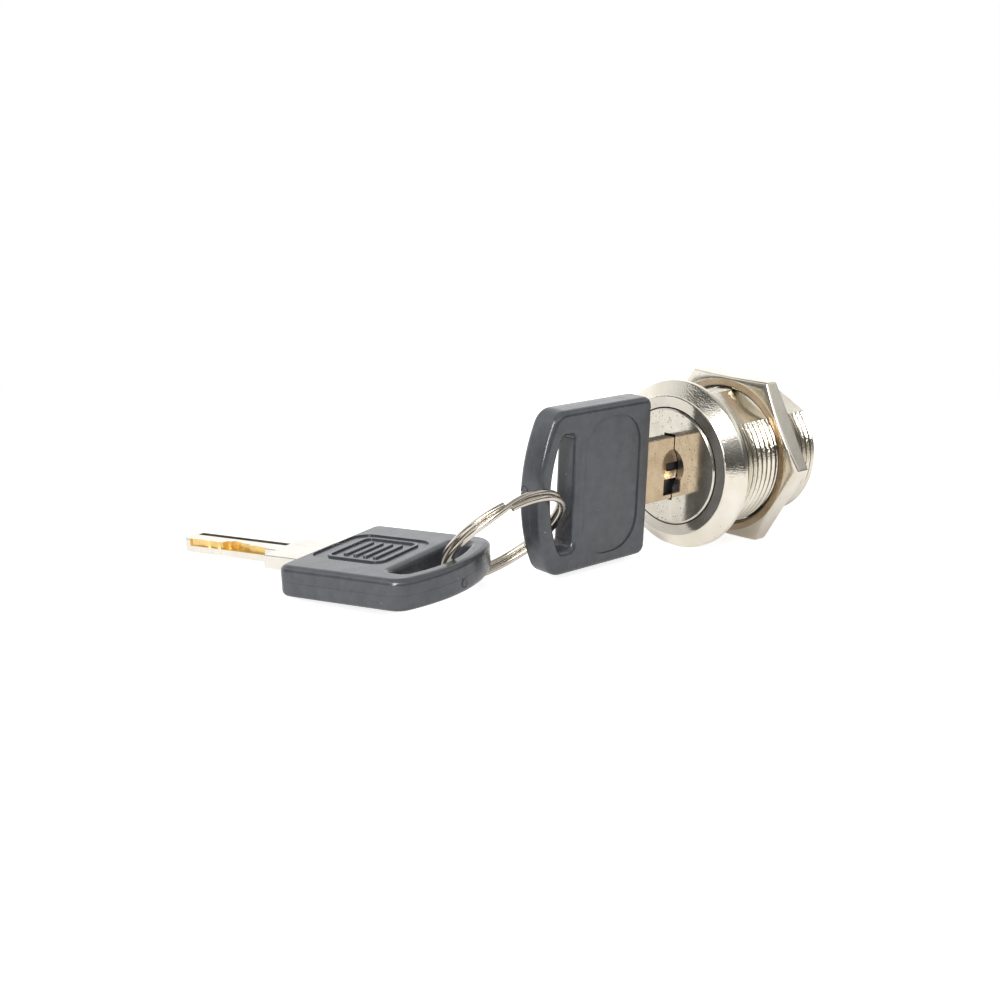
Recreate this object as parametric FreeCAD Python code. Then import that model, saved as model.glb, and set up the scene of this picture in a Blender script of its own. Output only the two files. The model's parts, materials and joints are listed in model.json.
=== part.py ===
"""Cart lock: a threaded cam lock with a key in its plug and a spare key on a split ring.

Millimetres. The lock's axis is Y and its face looks along -Y. The origin lies on the axis, in the plane of
the flange's seat, where the panel's front face comes. +Z is up and the lock lies on its flange and nut.
"""
import FreeCAD, Part
import math
import os
from FreeCAD import Matrix, Placement, Rotation, Vector

os.makedirs("parts", exist_ok=True)

# Flange and barrel
FLANGE_RADIUS = 11.65
FLANGE_CHAMFER_WIDTH = 1.9
FLANGE_FRONT_RADIUS = FLANGE_RADIUS - FLANGE_CHAMFER_WIDTH
FLANGE_CHAMFER_LENGTH = 1.72
FLANGE_RIM = 0.82
FLANGE_OVERHANG = 2.15
THREAD_RADIUS = FLANGE_RADIUS - FLANGE_OVERHANG
THREAD_PITCH = 1.0
THREAD_DEPTH = 0.6
THREAD_FLAT = 0.14
REGISTER_LENGTH = 0.7
BARREL_LENGTH = 18.45
BARREL_END_CHAMFER = 0.5
FLAT_CUT = 0.65
BARREL_ACROSS_FLATS = 2 * (THREAD_RADIUS - FLAT_CUT)
FLAT_NORMAL_FROM_X = 64.0

# Plug
PLUG_HEAD_WALL = 1.5
PLUG_HEAD_RADIUS = THREAD_RADIUS - PLUG_HEAD_WALL
PLUG_HEAD_LENGTH = 2.2
BARREL_WALL = 2.9
PLUG_RADIUS = THREAD_RADIUS - BARREL_WALL
PLUG_PROUD = 0.26
PLUG_HEAD_CHAMFER = 0.12
PLUG_DISH_RADIUS = 2.8
PLUG_DISH_DEPTH = 0.35
RUNNING_GAP = 0.1
END_GAP = 0.05
FACE_BEVEL = 0.32
SHANK_SQUARE = 6.4
SQUARE_GAP = 0.05

# Keyway and key blade
BLADE_THICKNESS = 1.8
BLADE_WIDTH = 3.7
NECK_WIDTH = 8.7
NECK_LENGTH = 7.1
BLADE_LENGTH = 22.8
TIP_BEVEL = 0.7
TANG_LENGTH = 8.6
KEYWAY_GAP = 0.1
MOUTH_HEIGHT = 9.8
MOUTH_WIDTH = 2.2
SHOULDER_GAP = 0.1
KEYWAY_BEYOND_TIP = 0.5
GROOVE_WIDTH = 0.8
GROOVE_DEPTH = 0.35
GROOVE_OFFSET = 0.85
BACK_GROOVE_WIDTH = 1.1
BACK_GROOVE_OFFSET = 0.1
CUT_DEPTH = 0.9
CUT_STEPS = (0.75, 1.15, 0.7, 1.3, 0.9, 1.1)
CUT_FIRST = 9.4
CUT_TIP_GAP = 2.65
CUT_PITCH = (BLADE_LENGTH - CUT_FIRST - CUT_TIP_GAP) / (len(CUT_STEPS) - 1)
NOTCH_DEPTH = 0.6
NOTCH_WIDTH = 2.5
NOTCH_LENGTH = 2.9

# Key head
HEAD_WIDTH = 21.6
HEAD_SIDE_LENGTH = 17.6
HEAD_LENGTH = 20.4
HEAD_THICKNESS = 4.0
HEAD_FRONT_CORNER = 1.3
HEAD_BOW_CORNER = 2.6
HEAD_EDGE_FILLET = 0.8
SLOT_FRONT = 14.0
SLOT_BOW_CENTRE = 18.1
SLOT_BOW_END = 16.4
SLOT_HALF_LENGTH = 7.5
SLOT_CORNER = 0.9
SLOT_EDGE_FILLET = 0.7
PANEL_FRONT = 1.9
PANEL_BACK = 11.6
PANEL_WIDTH = 17.8
PANEL_CORNER = 2.4
PANEL_DEPTH = 0.3
GRIP_RIB_COUNT = 4
GRIP_RIB_PITCH = 1.5
GRIP_RIB_WIDTH = 0.7
GRIP_RIB_LENGTH = 7.6
GRIP_RIB_HEIGHT = 0.25

# Wafers
WAFER_COUNT = 7
WAFER_FIRST = 0.9
WAFER_TIP_GAP = 1.95
WAFER_THICKNESS = 1.1
WAFER_END_GAP = 0.1
WAFER_TIP_RADIUS = PLUG_RADIUS - WAFER_END_GAP
WAFER_SIDE_GAP = 0.05
WAFER_WINDOW_GAP = 0.12
WAFER_CODES = (0.35, 0.65, 0.2, 0.5, 0.8, 0.35, 0.5)
LUG_EDGE = 2.1
LUG_REACH = PLUG_RADIUS - LUG_EDGE
WAFER_SIDE_CUT = 1.2
WAFER_WIDTH = PLUG_RADIUS - WAFER_SIDE_CUT
LUG_BOTTOM = 1.6
LUG_TOP = 2.5
LUG_TRAVEL = 1.0
SPRING_FLOOR = -2.7
SPRING_RADIUS = 0.42
SPRING_WIRE_RADIUS = 0.08
SPRING_TURNS = 6
SPRING_END_GAP = 0.1
CHANNEL_DEPTH = 0.9
CHANNEL_BEYOND_WAFERS = 1.2

# Rear end
REAR_WALL = 1.5
REAR_RECESS_RADIUS = THREAD_RADIUS - REAR_WALL
REAR_RECESS_DEPTH = 1.5
STOP_LUG_ANGLE = 34.0
STOP_LUG_DEPTH = 1.0
STOP_LUG_RADIUS = REAR_RECESS_RADIUS - STOP_LUG_DEPTH
STOP_LUG_HEIGHT = 1.3
STOP_LUG_DIRECTION = 180.0
STOP_WASHER_GAP = 0.15
STOP_WASHER_RADIUS = REAR_RECESS_RADIUS - STOP_WASHER_GAP
STOP_WASHER_THICKNESS = 1.75
STOP_FREE_ANGLE = 1.5
PLUG_TURN = 90.0
CAM_THICKNESS = 1.6
CAM_HUB_INSET = 1.0
CAM_HUB_RADIUS = REAR_RECESS_RADIUS - CAM_HUB_INSET
CAM_LENGTH = 20.0
CAM_TIP_WIDTH = 9.0
CAM_SHOULDER = 0.8
CAM_ROOT_WIDTH = 2 * (CAM_HUB_RADIUS - CAM_SHOULDER)
CAM_TIP_CORNER = 2.5
CAM_WASHER_RADIUS = 4.4
CAM_WASHER_THICKNESS = 0.6
SCREW_RADIUS = 1.95
SCREW_HOLE_GAP = 0.06
SCREW_HEAD_RADIUS = 3.9
SCREW_HEAD_HEIGHT = 1.9
SCREW_TIP_GAP = 0.9
SCREW_CROSS_LENGTH = 4.2
SCREW_CROSS_WIDTH = 0.9
SCREW_CROSS_DEPTH = 1.2

# Nut
NUT_INSIDE_FLANGE = 0.35
NUT_ACROSS_FLATS = 2 * (FLANGE_RADIUS - NUT_INSIDE_FLANGE)
NUT_THICKNESS = 2.9
NUT_FROM_SEAT = 8.6
NUT_FACE_EDGE = 0.4
NUT_FACE_RADIUS = NUT_ACROSS_FLATS / 2 - NUT_FACE_EDGE
NUT_CHAMFER_ANGLE = 20.0
NUT_BORE_GAP = 0.1
NUT_BORE_CHAMFER = 0.4

# Where the keys and the ring lie
KEY_HEAD_FROM_FACE = 6.05
FREE_KEY_HEIGHT = 2.55
FREE_KEY_YAW = 17.75
FREE_KEY_PITCH = 4.1
RING_RADIUS = 8.4
RING_WIRE_RADIUS = 0.4
RING_TURN_SPACING = 0.84
RING_ASIDE = 0.65
RING_PAST_SLOT = 1.65
RING_FORWARD = SLOT_FRONT + RING_RADIUS + RING_PAST_SLOT
RING_HEIGHT = 7.04
RING_NORMAL = Vector(0.757, 0.003, -0.654)
RING_IN_FREE_SLOT = 1.756
RING_OFF_FREE_MIDDLE = 2.312
RING_HANG_X = -0.339
RING_HANG_Y = -0.852
RING_END_ANGLE = 60.0
RING_JOG_ANGLE = 50.0

# Worked-out places along the axis
FACE_Y = -(FLANGE_RIM + FLANGE_CHAMFER_LENGTH)
PLUG_FACE_Y = FACE_Y - PLUG_PROUD
PLUG_SHOULDER_Y = PLUG_FACE_Y + PLUG_HEAD_LENGTH
RECESS_Y = BARREL_LENGTH - REAR_RECESS_DEPTH
STOP_WASHER_Y = RECESS_Y + END_GAP
CAM_Y = STOP_WASHER_Y + STOP_WASHER_THICKNESS
CAM_WASHER_Y = CAM_Y + CAM_THICKNESS
SCREW_HEAD_Y = CAM_WASHER_Y + CAM_WASHER_THICKNESS
KEY_FRONT_Y = PLUG_FACE_Y - KEY_HEAD_FROM_FACE
SHOULDER_Y = KEY_FRONT_Y + NECK_LENGTH
TIP_Y = KEY_FRONT_Y + BLADE_LENGTH
KEYWAY_END_Y = TIP_Y + KEYWAY_BEYOND_TIP
BORE_RADIUS = PLUG_RADIUS + RUNNING_GAP
WAFER_PITCH = (TIP_Y - WAFER_TIP_GAP - WAFER_FIRST) / (WAFER_COUNT - 1)
SCREW_LENGTH = SCREW_HEAD_Y - KEYWAY_END_Y - SCREW_TIP_GAP
RING_CENTRE = Vector(-RING_ASIDE, KEY_FRONT_Y - RING_FORWARD, RING_HEIGHT - FLANGE_RADIUS)
AXIS = Vector(0, 1, 0)


def ring_of(points):
    """Turn a closed list of (radius, y) points into a solid of revolution about the lock's axis."""
    corners = [Vector(radius, y, 0) for radius, y in points]
    outline = Part.makePolygon(corners + corners[:1])
    return Part.Face(outline).revolve(Vector(0, 0, 0), AXIS, 360)


def cylinder(radius, start_y, end_y):
    """A cylinder on the lock's axis from start_y to end_y."""
    return Part.makeCylinder(radius, end_y - start_y, Vector(0, start_y, 0), AXIS)


def block(x_low, x_high, y_low, y_high, z_low, z_high):
    """A box between the given limits."""
    return Part.makeBox(x_high - x_low, y_high - y_low, z_high - z_low, Vector(x_low, y_low, z_low))


def square_bar(side, start_y, end_y):
    """A square bar on the lock's axis."""
    half = side / 2
    return block(-half, half, start_y, end_y, -half, half)


def sector(radius, start_y, end_y, start_angle, end_angle):
    """A wedge of a cylinder. Angles run from +Z towards +X, the way the plug turns."""
    wedge = Part.makeCylinder(radius, end_y - start_y, Vector(0, 0, 0), Vector(0, 0, 1), end_angle - start_angle)
    # The wedge starts on +X in the XY plane; +X goes to +Z and the height to +Y.
    to_axis = Placement(Vector(0, start_y, 0), Rotation(Vector(0, 0, 1), Vector(1, 0, 0), Vector(0, 1, 0), "ZXY"))
    wedge.Placement = to_axis
    wedge.rotate(Vector(0, 0, 0), AXIS, start_angle)
    return wedge


def thread_outline():
    """The register collar and the thread's crests and roots, from the seat to the barrel's end, as (radius, y)."""
    root = THREAD_RADIUS - THREAD_DEPTH
    points = [(THREAD_RADIUS, 0.0), (THREAD_RADIUS, REGISTER_LENGTH), (root, REGISTER_LENGTH + THREAD_DEPTH * 0.6)]
    y = REGISTER_LENGTH + THREAD_DEPTH * 0.6
    slope = (THREAD_PITCH - 2 * THREAD_FLAT) / 2
    while y + THREAD_PITCH <= BARREL_LENGTH - BARREL_END_CHAMFER:
        points.append((THREAD_RADIUS, y + slope))
        points.append((THREAD_RADIUS, y + slope + THREAD_FLAT))
        points.append((root, y + 2 * slope + THREAD_FLAT))
        points.append((root, y + THREAD_PITCH))
        y += THREAD_PITCH
    points.append((root, BARREL_LENGTH))
    return points


def make_lock_body():
    """Flange, threaded barrel with two flats, bore, wafer channels and the rear stop."""
    inner = [
        (REAR_RECESS_RADIUS, BARREL_LENGTH),
        (REAR_RECESS_RADIUS, RECESS_Y),
        (BORE_RADIUS, RECESS_Y),
        (BORE_RADIUS, PLUG_SHOULDER_Y + END_GAP),
        (PLUG_HEAD_RADIUS + RUNNING_GAP, PLUG_SHOULDER_Y + END_GAP),
        (PLUG_HEAD_RADIUS + RUNNING_GAP, FACE_Y + FACE_BEVEL),
        (PLUG_HEAD_RADIUS + RUNNING_GAP + FACE_BEVEL, FACE_Y),
    ]
    flange = [
        (FLANGE_FRONT_RADIUS, FACE_Y),
        (FLANGE_RADIUS, FACE_Y + FLANGE_CHAMFER_LENGTH),
        (FLANGE_RADIUS, 0.0),
    ]
    body = ring_of(inner + flange + thread_outline())
    for side in (0, 180):
        flat = block(BARREL_ACROSS_FLATS / 2, 2 * THREAD_RADIUS, 0, BARREL_LENGTH + 1, -THREAD_RADIUS, THREAD_RADIUS)
        flat.rotate(Vector(0, 0, 0), AXIS, side - FLAT_NORMAL_FROM_X)
        body = body.cut(flat)
    channel_half = WAFER_WIDTH / 2 + WAFER_SIDE_GAP + RUNNING_GAP
    channel_top = BORE_RADIUS + CHANNEL_DEPTH
    channel_end = WAFER_FIRST + WAFER_PITCH * (WAFER_COUNT - 1) + CHANNEL_BEYOND_WAFERS
    channel_start = PLUG_SHOULDER_Y + END_GAP
    channel = block(-channel_half, channel_half, channel_start, channel_end, -channel_top, channel_top)
    body = body.cut(channel)
    lug = stop_lug()
    return body.fuse(lug).removeSplitter()


def stop_lug():
    """The stop inside the rear recess, which the stop washer's notch runs against."""
    half = STOP_LUG_ANGLE / 2
    low, high = STOP_LUG_DIRECTION - half, STOP_LUG_DIRECTION + half
    outer = sector(REAR_RECESS_RADIUS + 0.2, RECESS_Y, RECESS_Y + STOP_LUG_HEIGHT, low, high)
    return outer.cut(cylinder(STOP_LUG_RADIUS, RECESS_Y - 1, RECESS_Y + STOP_LUG_HEIGHT + 1))


def make_plug():
    """The turning plug with its keyway, wafer slots, dished face and square rear shank."""
    head = cylinder(PLUG_HEAD_RADIUS, PLUG_FACE_Y, PLUG_SHOULDER_Y)
    front_edge = min(head.Edges, key=lambda edge: edge.CenterOfMass.y)
    head = head.makeChamfer(PLUG_HEAD_CHAMFER, [front_edge])
    plug = head.fuse(cylinder(PLUG_RADIUS, PLUG_SHOULDER_Y, STOP_WASHER_Y))
    plug = plug.fuse(square_bar(SHANK_SQUARE, STOP_WASHER_Y, CAM_WASHER_Y - 2 * END_GAP))
    dish_sphere = (PLUG_DISH_RADIUS ** 2 + PLUG_DISH_DEPTH ** 2) / (2 * PLUG_DISH_DEPTH)
    dish_centre = Vector(0, PLUG_FACE_Y + PLUG_DISH_DEPTH - dish_sphere, 0)
    plug = plug.cut(Part.makeSphere(dish_sphere, dish_centre))
    way_half_width = BLADE_THICKNESS / 2 + KEYWAY_GAP
    way_half_height = BLADE_WIDTH / 2 + KEYWAY_GAP
    keyway = block(-way_half_width, way_half_width, PLUG_FACE_Y - 1, KEYWAY_END_Y, -way_half_height, way_half_height)
    mouth = block(
        -MOUTH_WIDTH / 2, MOUTH_WIDTH / 2, PLUG_FACE_Y - 1, SHOULDER_Y + SHOULDER_GAP, -MOUTH_HEIGHT / 2, MOUTH_HEIGHT / 2
    )
    plug = plug.cut(keyway).cut(mouth)
    slot_half = WAFER_THICKNESS / 2 + WAFER_SIDE_GAP
    wafer_half = WAFER_WIDTH / 2 + WAFER_SIDE_GAP
    for index in range(WAFER_COUNT):
        y = WAFER_FIRST + WAFER_PITCH * index
        slot = block(-wafer_half, wafer_half, y - slot_half, y + slot_half, -PLUG_RADIUS - 1, PLUG_RADIUS + 1)
        pocket = block(
            -LUG_REACH - RUNNING_GAP, 0, y - slot_half, y + slot_half, SPRING_FLOOR, LUG_TOP + LUG_TRAVEL
        )
        plug = plug.cut(slot).cut(pocket)
    hole_end = SCREW_HEAD_Y - SCREW_LENGTH - 2 * END_GAP
    plug = plug.cut(cylinder(SCREW_RADIUS + SCREW_HOLE_GAP, hole_end, CAM_WASHER_Y + 1))
    return plug.removeSplitter()


def make_wafer(index):
    """One wafer: a plate with round ends, a window for the blade and a lug for its spring."""
    y = WAFER_FIRST + WAFER_PITCH * index
    low, high = y - WAFER_THICKNESS / 2, y + WAFER_THICKNESS / 2
    half = WAFER_WIDTH / 2
    plate = block(-half, half, low, high, -WAFER_TIP_RADIUS, WAFER_TIP_RADIUS)
    plate = plate.common(cylinder(WAFER_TIP_RADIUS, low, high))
    plate = plate.fuse(block(-LUG_REACH, 0, low, high, LUG_BOTTOM, LUG_TOP))
    window_half = BLADE_THICKNESS / 2 + WAFER_WINDOW_GAP
    window_top = BLADE_WIDTH / 2 + WAFER_WINDOW_GAP
    window_bottom = -window_top - WAFER_CODES[index]
    window = block(-window_half, window_half, low - 1, high + 1, window_bottom, window_top)
    return plate.cut(window).removeSplitter()


def make_wafer_springs():
    """The coil springs that push the wafers, one in each wafer's pocket."""
    springs = []
    bottom = SPRING_FLOOR + SPRING_WIRE_RADIUS + SPRING_END_GAP
    height = LUG_BOTTOM - SPRING_WIRE_RADIUS - SPRING_END_GAP - bottom
    spring_x = -(WAFER_WIDTH / 2 + LUG_REACH) / 2
    for index in range(WAFER_COUNT):
        coil = Part.makeHelix(height / SPRING_TURNS, height, SPRING_RADIUS)
        section = Part.Wire(Part.makeCircle(SPRING_WIRE_RADIUS, Vector(SPRING_RADIUS, 0, 0), Vector(0, 1, 0)))
        spring = Part.Wire(coil.Edges).makePipeShell([section], True, True)
        spring.translate(Vector(spring_x, WAFER_FIRST + WAFER_PITCH * index, bottom))
        springs.append(spring)
    return Part.makeCompound(springs)


def make_stop_washer():
    """The washer on the square shank whose notch lets the plug turn a quarter turn."""
    washer = cylinder(STOP_WASHER_RADIUS, STOP_WASHER_Y, CAM_Y)
    half = STOP_LUG_ANGLE / 2 + STOP_FREE_ANGLE
    low = STOP_LUG_DIRECTION - half - PLUG_TURN
    high = STOP_LUG_DIRECTION + half
    notch = sector(STOP_WASHER_RADIUS + 1, STOP_WASHER_Y - 1, CAM_Y + 1, low, high)
    notch = notch.cut(cylinder(STOP_LUG_RADIUS - 2 * RUNNING_GAP, STOP_WASHER_Y - 2, CAM_Y + 2))
    return washer.cut(notch).cut(square_bar(SHANK_SQUARE + 2 * SQUARE_GAP, STOP_WASHER_Y - 1, CAM_Y + 1))


def make_cam():
    """The flat locking cam, which points to -X at rest."""
    hub = cylinder(CAM_HUB_RADIUS, CAM_Y, CAM_WASHER_Y)
    root, tip = CAM_ROOT_WIDTH / 2, CAM_TIP_WIDTH / 2
    corners = [(0, -root), (-CAM_LENGTH, -tip), (-CAM_LENGTH, tip), (0, root)]
    points = [Vector(x, CAM_Y, z) for x, z in corners]
    arm = Part.Face(Part.makePolygon(points + points[:1])).extrude(Vector(0, CAM_THICKNESS, 0))
    tip_edges = [edge for edge in arm.Edges if abs(edge.CenterOfMass.x + CAM_LENGTH) < 1e-6 and edge.Length < 2 * CAM_THICKNESS]
    arm = arm.makeFillet(CAM_TIP_CORNER, tip_edges)
    cam = hub.fuse(arm).removeSplitter()
    return cam.cut(square_bar(SHANK_SQUARE + 2 * SQUARE_GAP, CAM_Y - 1, CAM_WASHER_Y + 1))


def make_cam_washer():
    """The washer under the cam screw's head."""
    hole = cylinder(SCREW_RADIUS + RUNNING_GAP, CAM_WASHER_Y - 1, SCREW_HEAD_Y + 1)
    return cylinder(CAM_WASHER_RADIUS, CAM_WASHER_Y, SCREW_HEAD_Y).cut(hole)


def make_cam_screw():
    """The pan-head screw that clamps the cam to the plug."""
    head_end = SCREW_HEAD_Y + SCREW_HEAD_HEIGHT
    head = cylinder(SCREW_HEAD_RADIUS, SCREW_HEAD_Y, head_end)
    rear_edge = max(head.Edges, key=lambda edge: edge.CenterOfMass.y)
    head = head.makeFillet(SCREW_HEAD_HEIGHT * 0.5, [rear_edge])
    screw = head.fuse(cylinder(SCREW_RADIUS, SCREW_HEAD_Y - SCREW_LENGTH, SCREW_HEAD_Y))
    long_half, wide_half = SCREW_CROSS_LENGTH / 2, SCREW_CROSS_WIDTH / 2
    floor = head_end - SCREW_CROSS_DEPTH
    upright = block(-wide_half, wide_half, floor, head_end + 1, -long_half, long_half)
    level = block(-long_half, long_half, floor, head_end + 1, -wide_half, wide_half)
    return screw.cut(upright).cut(level).removeSplitter()


def make_hex_nut():
    """The hexagon mounting nut, with a flat at the top and at the bottom."""
    start, end = NUT_FROM_SEAT, NUT_FROM_SEAT + NUT_THICKNESS
    corner_radius = NUT_ACROSS_FLATS / math.sqrt(3)
    corners = []
    for index in range(6):
        angle = math.radians(60 * index)
        corners.append(Vector(corner_radius * math.cos(angle), start, corner_radius * math.sin(angle)))
    hexagon = Part.Face(Part.makePolygon(corners + corners[:1])).extrude(Vector(0, NUT_THICKNESS, 0))
    drop = (corner_radius - NUT_FACE_RADIUS) * math.tan(math.radians(NUT_CHAMFER_ANGLE))
    envelope = ring_of([
        (0, start),
        (NUT_FACE_RADIUS, start),
        (corner_radius, start + drop),
        (corner_radius + 1, start + drop),
        (corner_radius + 1, end),
        (0, end),
    ])
    bore = THREAD_RADIUS + NUT_BORE_GAP
    hole = ring_of([
        (0, start - 1),
        (bore + NUT_BORE_CHAMFER + 1, start - 1),
        (bore, start + NUT_BORE_CHAMFER),
        (bore, end - NUT_BORE_CHAMFER),
        (bore + NUT_BORE_CHAMFER + 1, end + 1),
        (0, end + 1),
    ])
    return hexagon.common(envelope).cut(hole)


def key_block(u_low, u_high, v_low, v_high, n_low, n_high):
    """A box in a key's own axes: u to the bow, v across, n out of its face."""
    return block(u_low, u_high, v_low, v_high, n_low, n_high)


def make_blade():
    """A key's metal: tang, wide neck and narrow blade with grooves and wavy side cuts."""
    half = BLADE_THICKNESS / 2
    neck_half, blade_half = NECK_WIDTH / 2, BLADE_WIDTH / 2
    blade = key_block(-NECK_LENGTH, TANG_LENGTH, -neck_half, neck_half, -half, half)
    narrow = key_block(-BLADE_LENGTH, 0, -blade_half, blade_half, -half, half)
    tip_edges = [edge for edge in narrow.Edges if abs(edge.CenterOfMass.x + BLADE_LENGTH) < 1e-6]
    narrow = narrow.makeChamfer(TIP_BEVEL, tip_edges)
    blade = blade.fuse(narrow).removeSplitter()
    groove_low = GROOVE_OFFSET - GROOVE_WIDTH / 2
    groove_high = GROOVE_OFFSET + GROOVE_WIDTH / 2
    front_groove = key_block(-BLADE_LENGTH + 1.4, -NECK_LENGTH, groove_low, groove_high, half - GROOVE_DEPTH, half + 1)
    back_low = BACK_GROOVE_OFFSET - BACK_GROOVE_WIDTH / 2
    back_high = BACK_GROOVE_OFFSET + BACK_GROOVE_WIDTH / 2
    back_groove = key_block(-BLADE_LENGTH + 1.4, -NECK_LENGTH + 2.5, back_low, back_high, -half - 1, GROOVE_DEPTH - half)
    blade = blade.cut(front_groove).cut(back_groove)
    # The cutter's wavy track takes the upper half of one edge, and the lower half of the other
    for index, depth in enumerate(CUT_STEPS):
        centre = -CUT_FIRST - CUT_PITCH * index
        radius = CUT_PITCH * 0.62
        front = Part.makeCylinder(radius, CUT_DEPTH + 1, Vector(centre, depth - blade_half - radius, half - CUT_DEPTH))
        back = Part.makeCylinder(radius, CUT_DEPTH + 1, Vector(centre, blade_half - depth + radius, -half - 1))
        blade = blade.cut(front).cut(back)
    notch = key_block(
        -NECK_LENGTH - 1,
        -NECK_LENGTH + NOTCH_LENGTH,
        0.3 - neck_half,
        0.3 - neck_half + NOTCH_WIDTH,
        -half - 1,
        NOTCH_DEPTH - half,
    )
    return blade.cut(notch).removeSplitter()


def bow_arc(front, reach, half_width):
    """Three points of the arc that bulges from front to reach, as (u, v)."""
    rise = reach - front
    radius = (half_width ** 2 + rise ** 2) / (2 * rise)
    centre = reach - radius
    half_angle = math.asin(half_width / radius)
    return [
        Vector(front, -half_width, 0),
        Vector(centre + radius * math.cos(half_angle * 0.02), radius * math.sin(half_angle * 0.02), 0),
        Vector(front, half_width, 0),
    ]


def bowed_plate(front, side, reach, half_width, low, height):
    """A plate with a straight front and sides and a bowed rear edge."""
    arc = bow_arc(side, reach, half_width)
    edges = [
        Part.LineSegment(Vector(front, half_width, 0), Vector(front, -half_width, 0)).toShape(),
        Part.LineSegment(Vector(front, -half_width, 0), arc[0]).toShape(),
        Part.Arc(arc[0], arc[1], arc[2]).toShape(),
        Part.LineSegment(arc[2], Vector(front, half_width, 0)).toShape(),
    ]
    plate = Part.Face(Part.Wire(edges)).extrude(Vector(0, 0, height))
    plate.translate(Vector(0, 0, low))
    return plate


def upright_edges(shape, u_test):
    """The edges of a plate that stand along its thickness where u_test holds."""
    found = []
    for edge in shape.Edges:
        box = edge.BoundBox
        if box.XLength < 1e-6 and box.YLength < 1e-6 and u_test(edge.CenterOfMass.x):
            found.append(edge)
    return found


def rim_edges(shape, level):
    """The edges of a plate that lie in the plane n = level."""
    return [edge for edge in shape.Edges if edge.BoundBox.ZLength < 1e-6 and abs(edge.CenterOfMass.z - level) < 1e-6]


def make_head(blade):
    """A key's plastic head: rounded plate, ring slot and a sunk panel on each face."""
    half = HEAD_THICKNESS / 2
    head = bowed_plate(0, HEAD_SIDE_LENGTH, HEAD_LENGTH, HEAD_WIDTH / 2, -half, HEAD_THICKNESS)
    head = head.makeFillet(HEAD_FRONT_CORNER, upright_edges(head, lambda u: u < 1))
    head = head.makeFillet(HEAD_BOW_CORNER, upright_edges(head, lambda u: abs(u - HEAD_SIDE_LENGTH) < 0.01))
    head = head.makeFillet(HEAD_EDGE_FILLET, rim_edges(head, half) + rim_edges(head, -half))
    slot = bowed_plate(SLOT_FRONT, SLOT_BOW_END, SLOT_BOW_CENTRE, SLOT_HALF_LENGTH, -half - 1, HEAD_THICKNESS + 2)
    slot = slot.makeFillet(SLOT_CORNER, upright_edges(slot, lambda u: True))
    head = head.cut(slot)
    slot_rims = []
    for level in (half, -half):
        for edge in rim_edges(head, level):
            box = edge.BoundBox
            if box.XMin > SLOT_FRONT - 0.1 and box.XMax < SLOT_BOW_CENTRE + 0.1 and box.YMax < SLOT_HALF_LENGTH + 0.1:
                if box.YMin > -SLOT_HALF_LENGTH - 0.1:
                    slot_rims.append(edge)
    head = head.makeFillet(SLOT_EDGE_FILLET, slot_rims)
    for side in (1, -1):
        panel = key_block(PANEL_FRONT, PANEL_BACK, -PANEL_WIDTH / 2, PANEL_WIDTH / 2, half - PANEL_DEPTH, half + 1)
        panel = panel.makeFillet(PANEL_CORNER, upright_edges(panel, lambda u: True))
        if side < 0:
            panel.rotate(Vector(0, 0, 0), Vector(1, 0, 0), 180)
        head = head.cut(panel)
    middle = (PANEL_FRONT + PANEL_BACK) / 2
    for index in range(GRIP_RIB_COUNT):
        u = middle + GRIP_RIB_PITCH * (index - (GRIP_RIB_COUNT - 1) / 2)
        floor = half - PANEL_DEPTH
        rib = key_block(
            u - GRIP_RIB_WIDTH / 2,
            u + GRIP_RIB_WIDTH / 2,
            -GRIP_RIB_LENGTH / 2,
            GRIP_RIB_LENGTH / 2,
            floor - 0.2,
            floor + GRIP_RIB_HEIGHT,
        )
        rib = rib.makeFillet(GRIP_RIB_WIDTH * 0.45, upright_edges(rib, lambda u: True))
        head = head.fuse(rib)
    return head.removeSplitter().cut(blade)


def pose(origin, u_axis, v_axis):
    """The placement that carries a key's own axes to where the key lies."""
    n_axis = u_axis.cross(v_axis)
    matrix = Matrix(
        u_axis.x, v_axis.x, n_axis.x, origin.x,
        u_axis.y, v_axis.y, n_axis.y, origin.y,
        u_axis.z, v_axis.z, n_axis.z, origin.z,
        0, 0, 0, 1,
    )
    return Placement(matrix)


def inserted_key_pose():
    """The key in the plug: bow towards -Y, its grip ribs on the far side."""
    return pose(Vector(0, KEY_FRONT_Y, 0), Vector(0, -1, 0), Vector(0, 0, 1))


def free_key_pose():
    """The spare key, lying on its blade tip and on the ring."""
    yaw, pitch = math.radians(FREE_KEY_YAW), math.radians(FREE_KEY_PITCH)
    u_axis = Vector(math.cos(yaw) * math.cos(pitch), math.sin(yaw) * math.cos(pitch), math.sin(pitch))
    v_axis = Vector(-math.sin(yaw), math.cos(yaw), 0)
    hanging_place = RING_CENTRE + Vector(RING_HANG_X, RING_HANG_Y, 0) * RING_RADIUS
    front = hanging_place - u_axis * (SLOT_FRONT + RING_IN_FREE_SLOT) - v_axis * RING_OFF_FREE_MIDDLE
    front.z = FREE_KEY_HEIGHT - FLANGE_RADIUS
    return pose(front, u_axis, v_axis)


def ring_point(angle, offset):
    """A point on the ring's wire centre, offset along the ring's axis."""
    normal = Vector(RING_NORMAL)
    normal.normalize()
    across = normal.cross(Vector(0, 0, 1))
    across.normalize()
    up = normal.cross(across)
    turned = math.radians(angle)
    arm = across * (RING_RADIUS * math.cos(turned)) + up * (RING_RADIUS * math.sin(turned))
    return RING_CENTRE + arm + normal * offset


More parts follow.
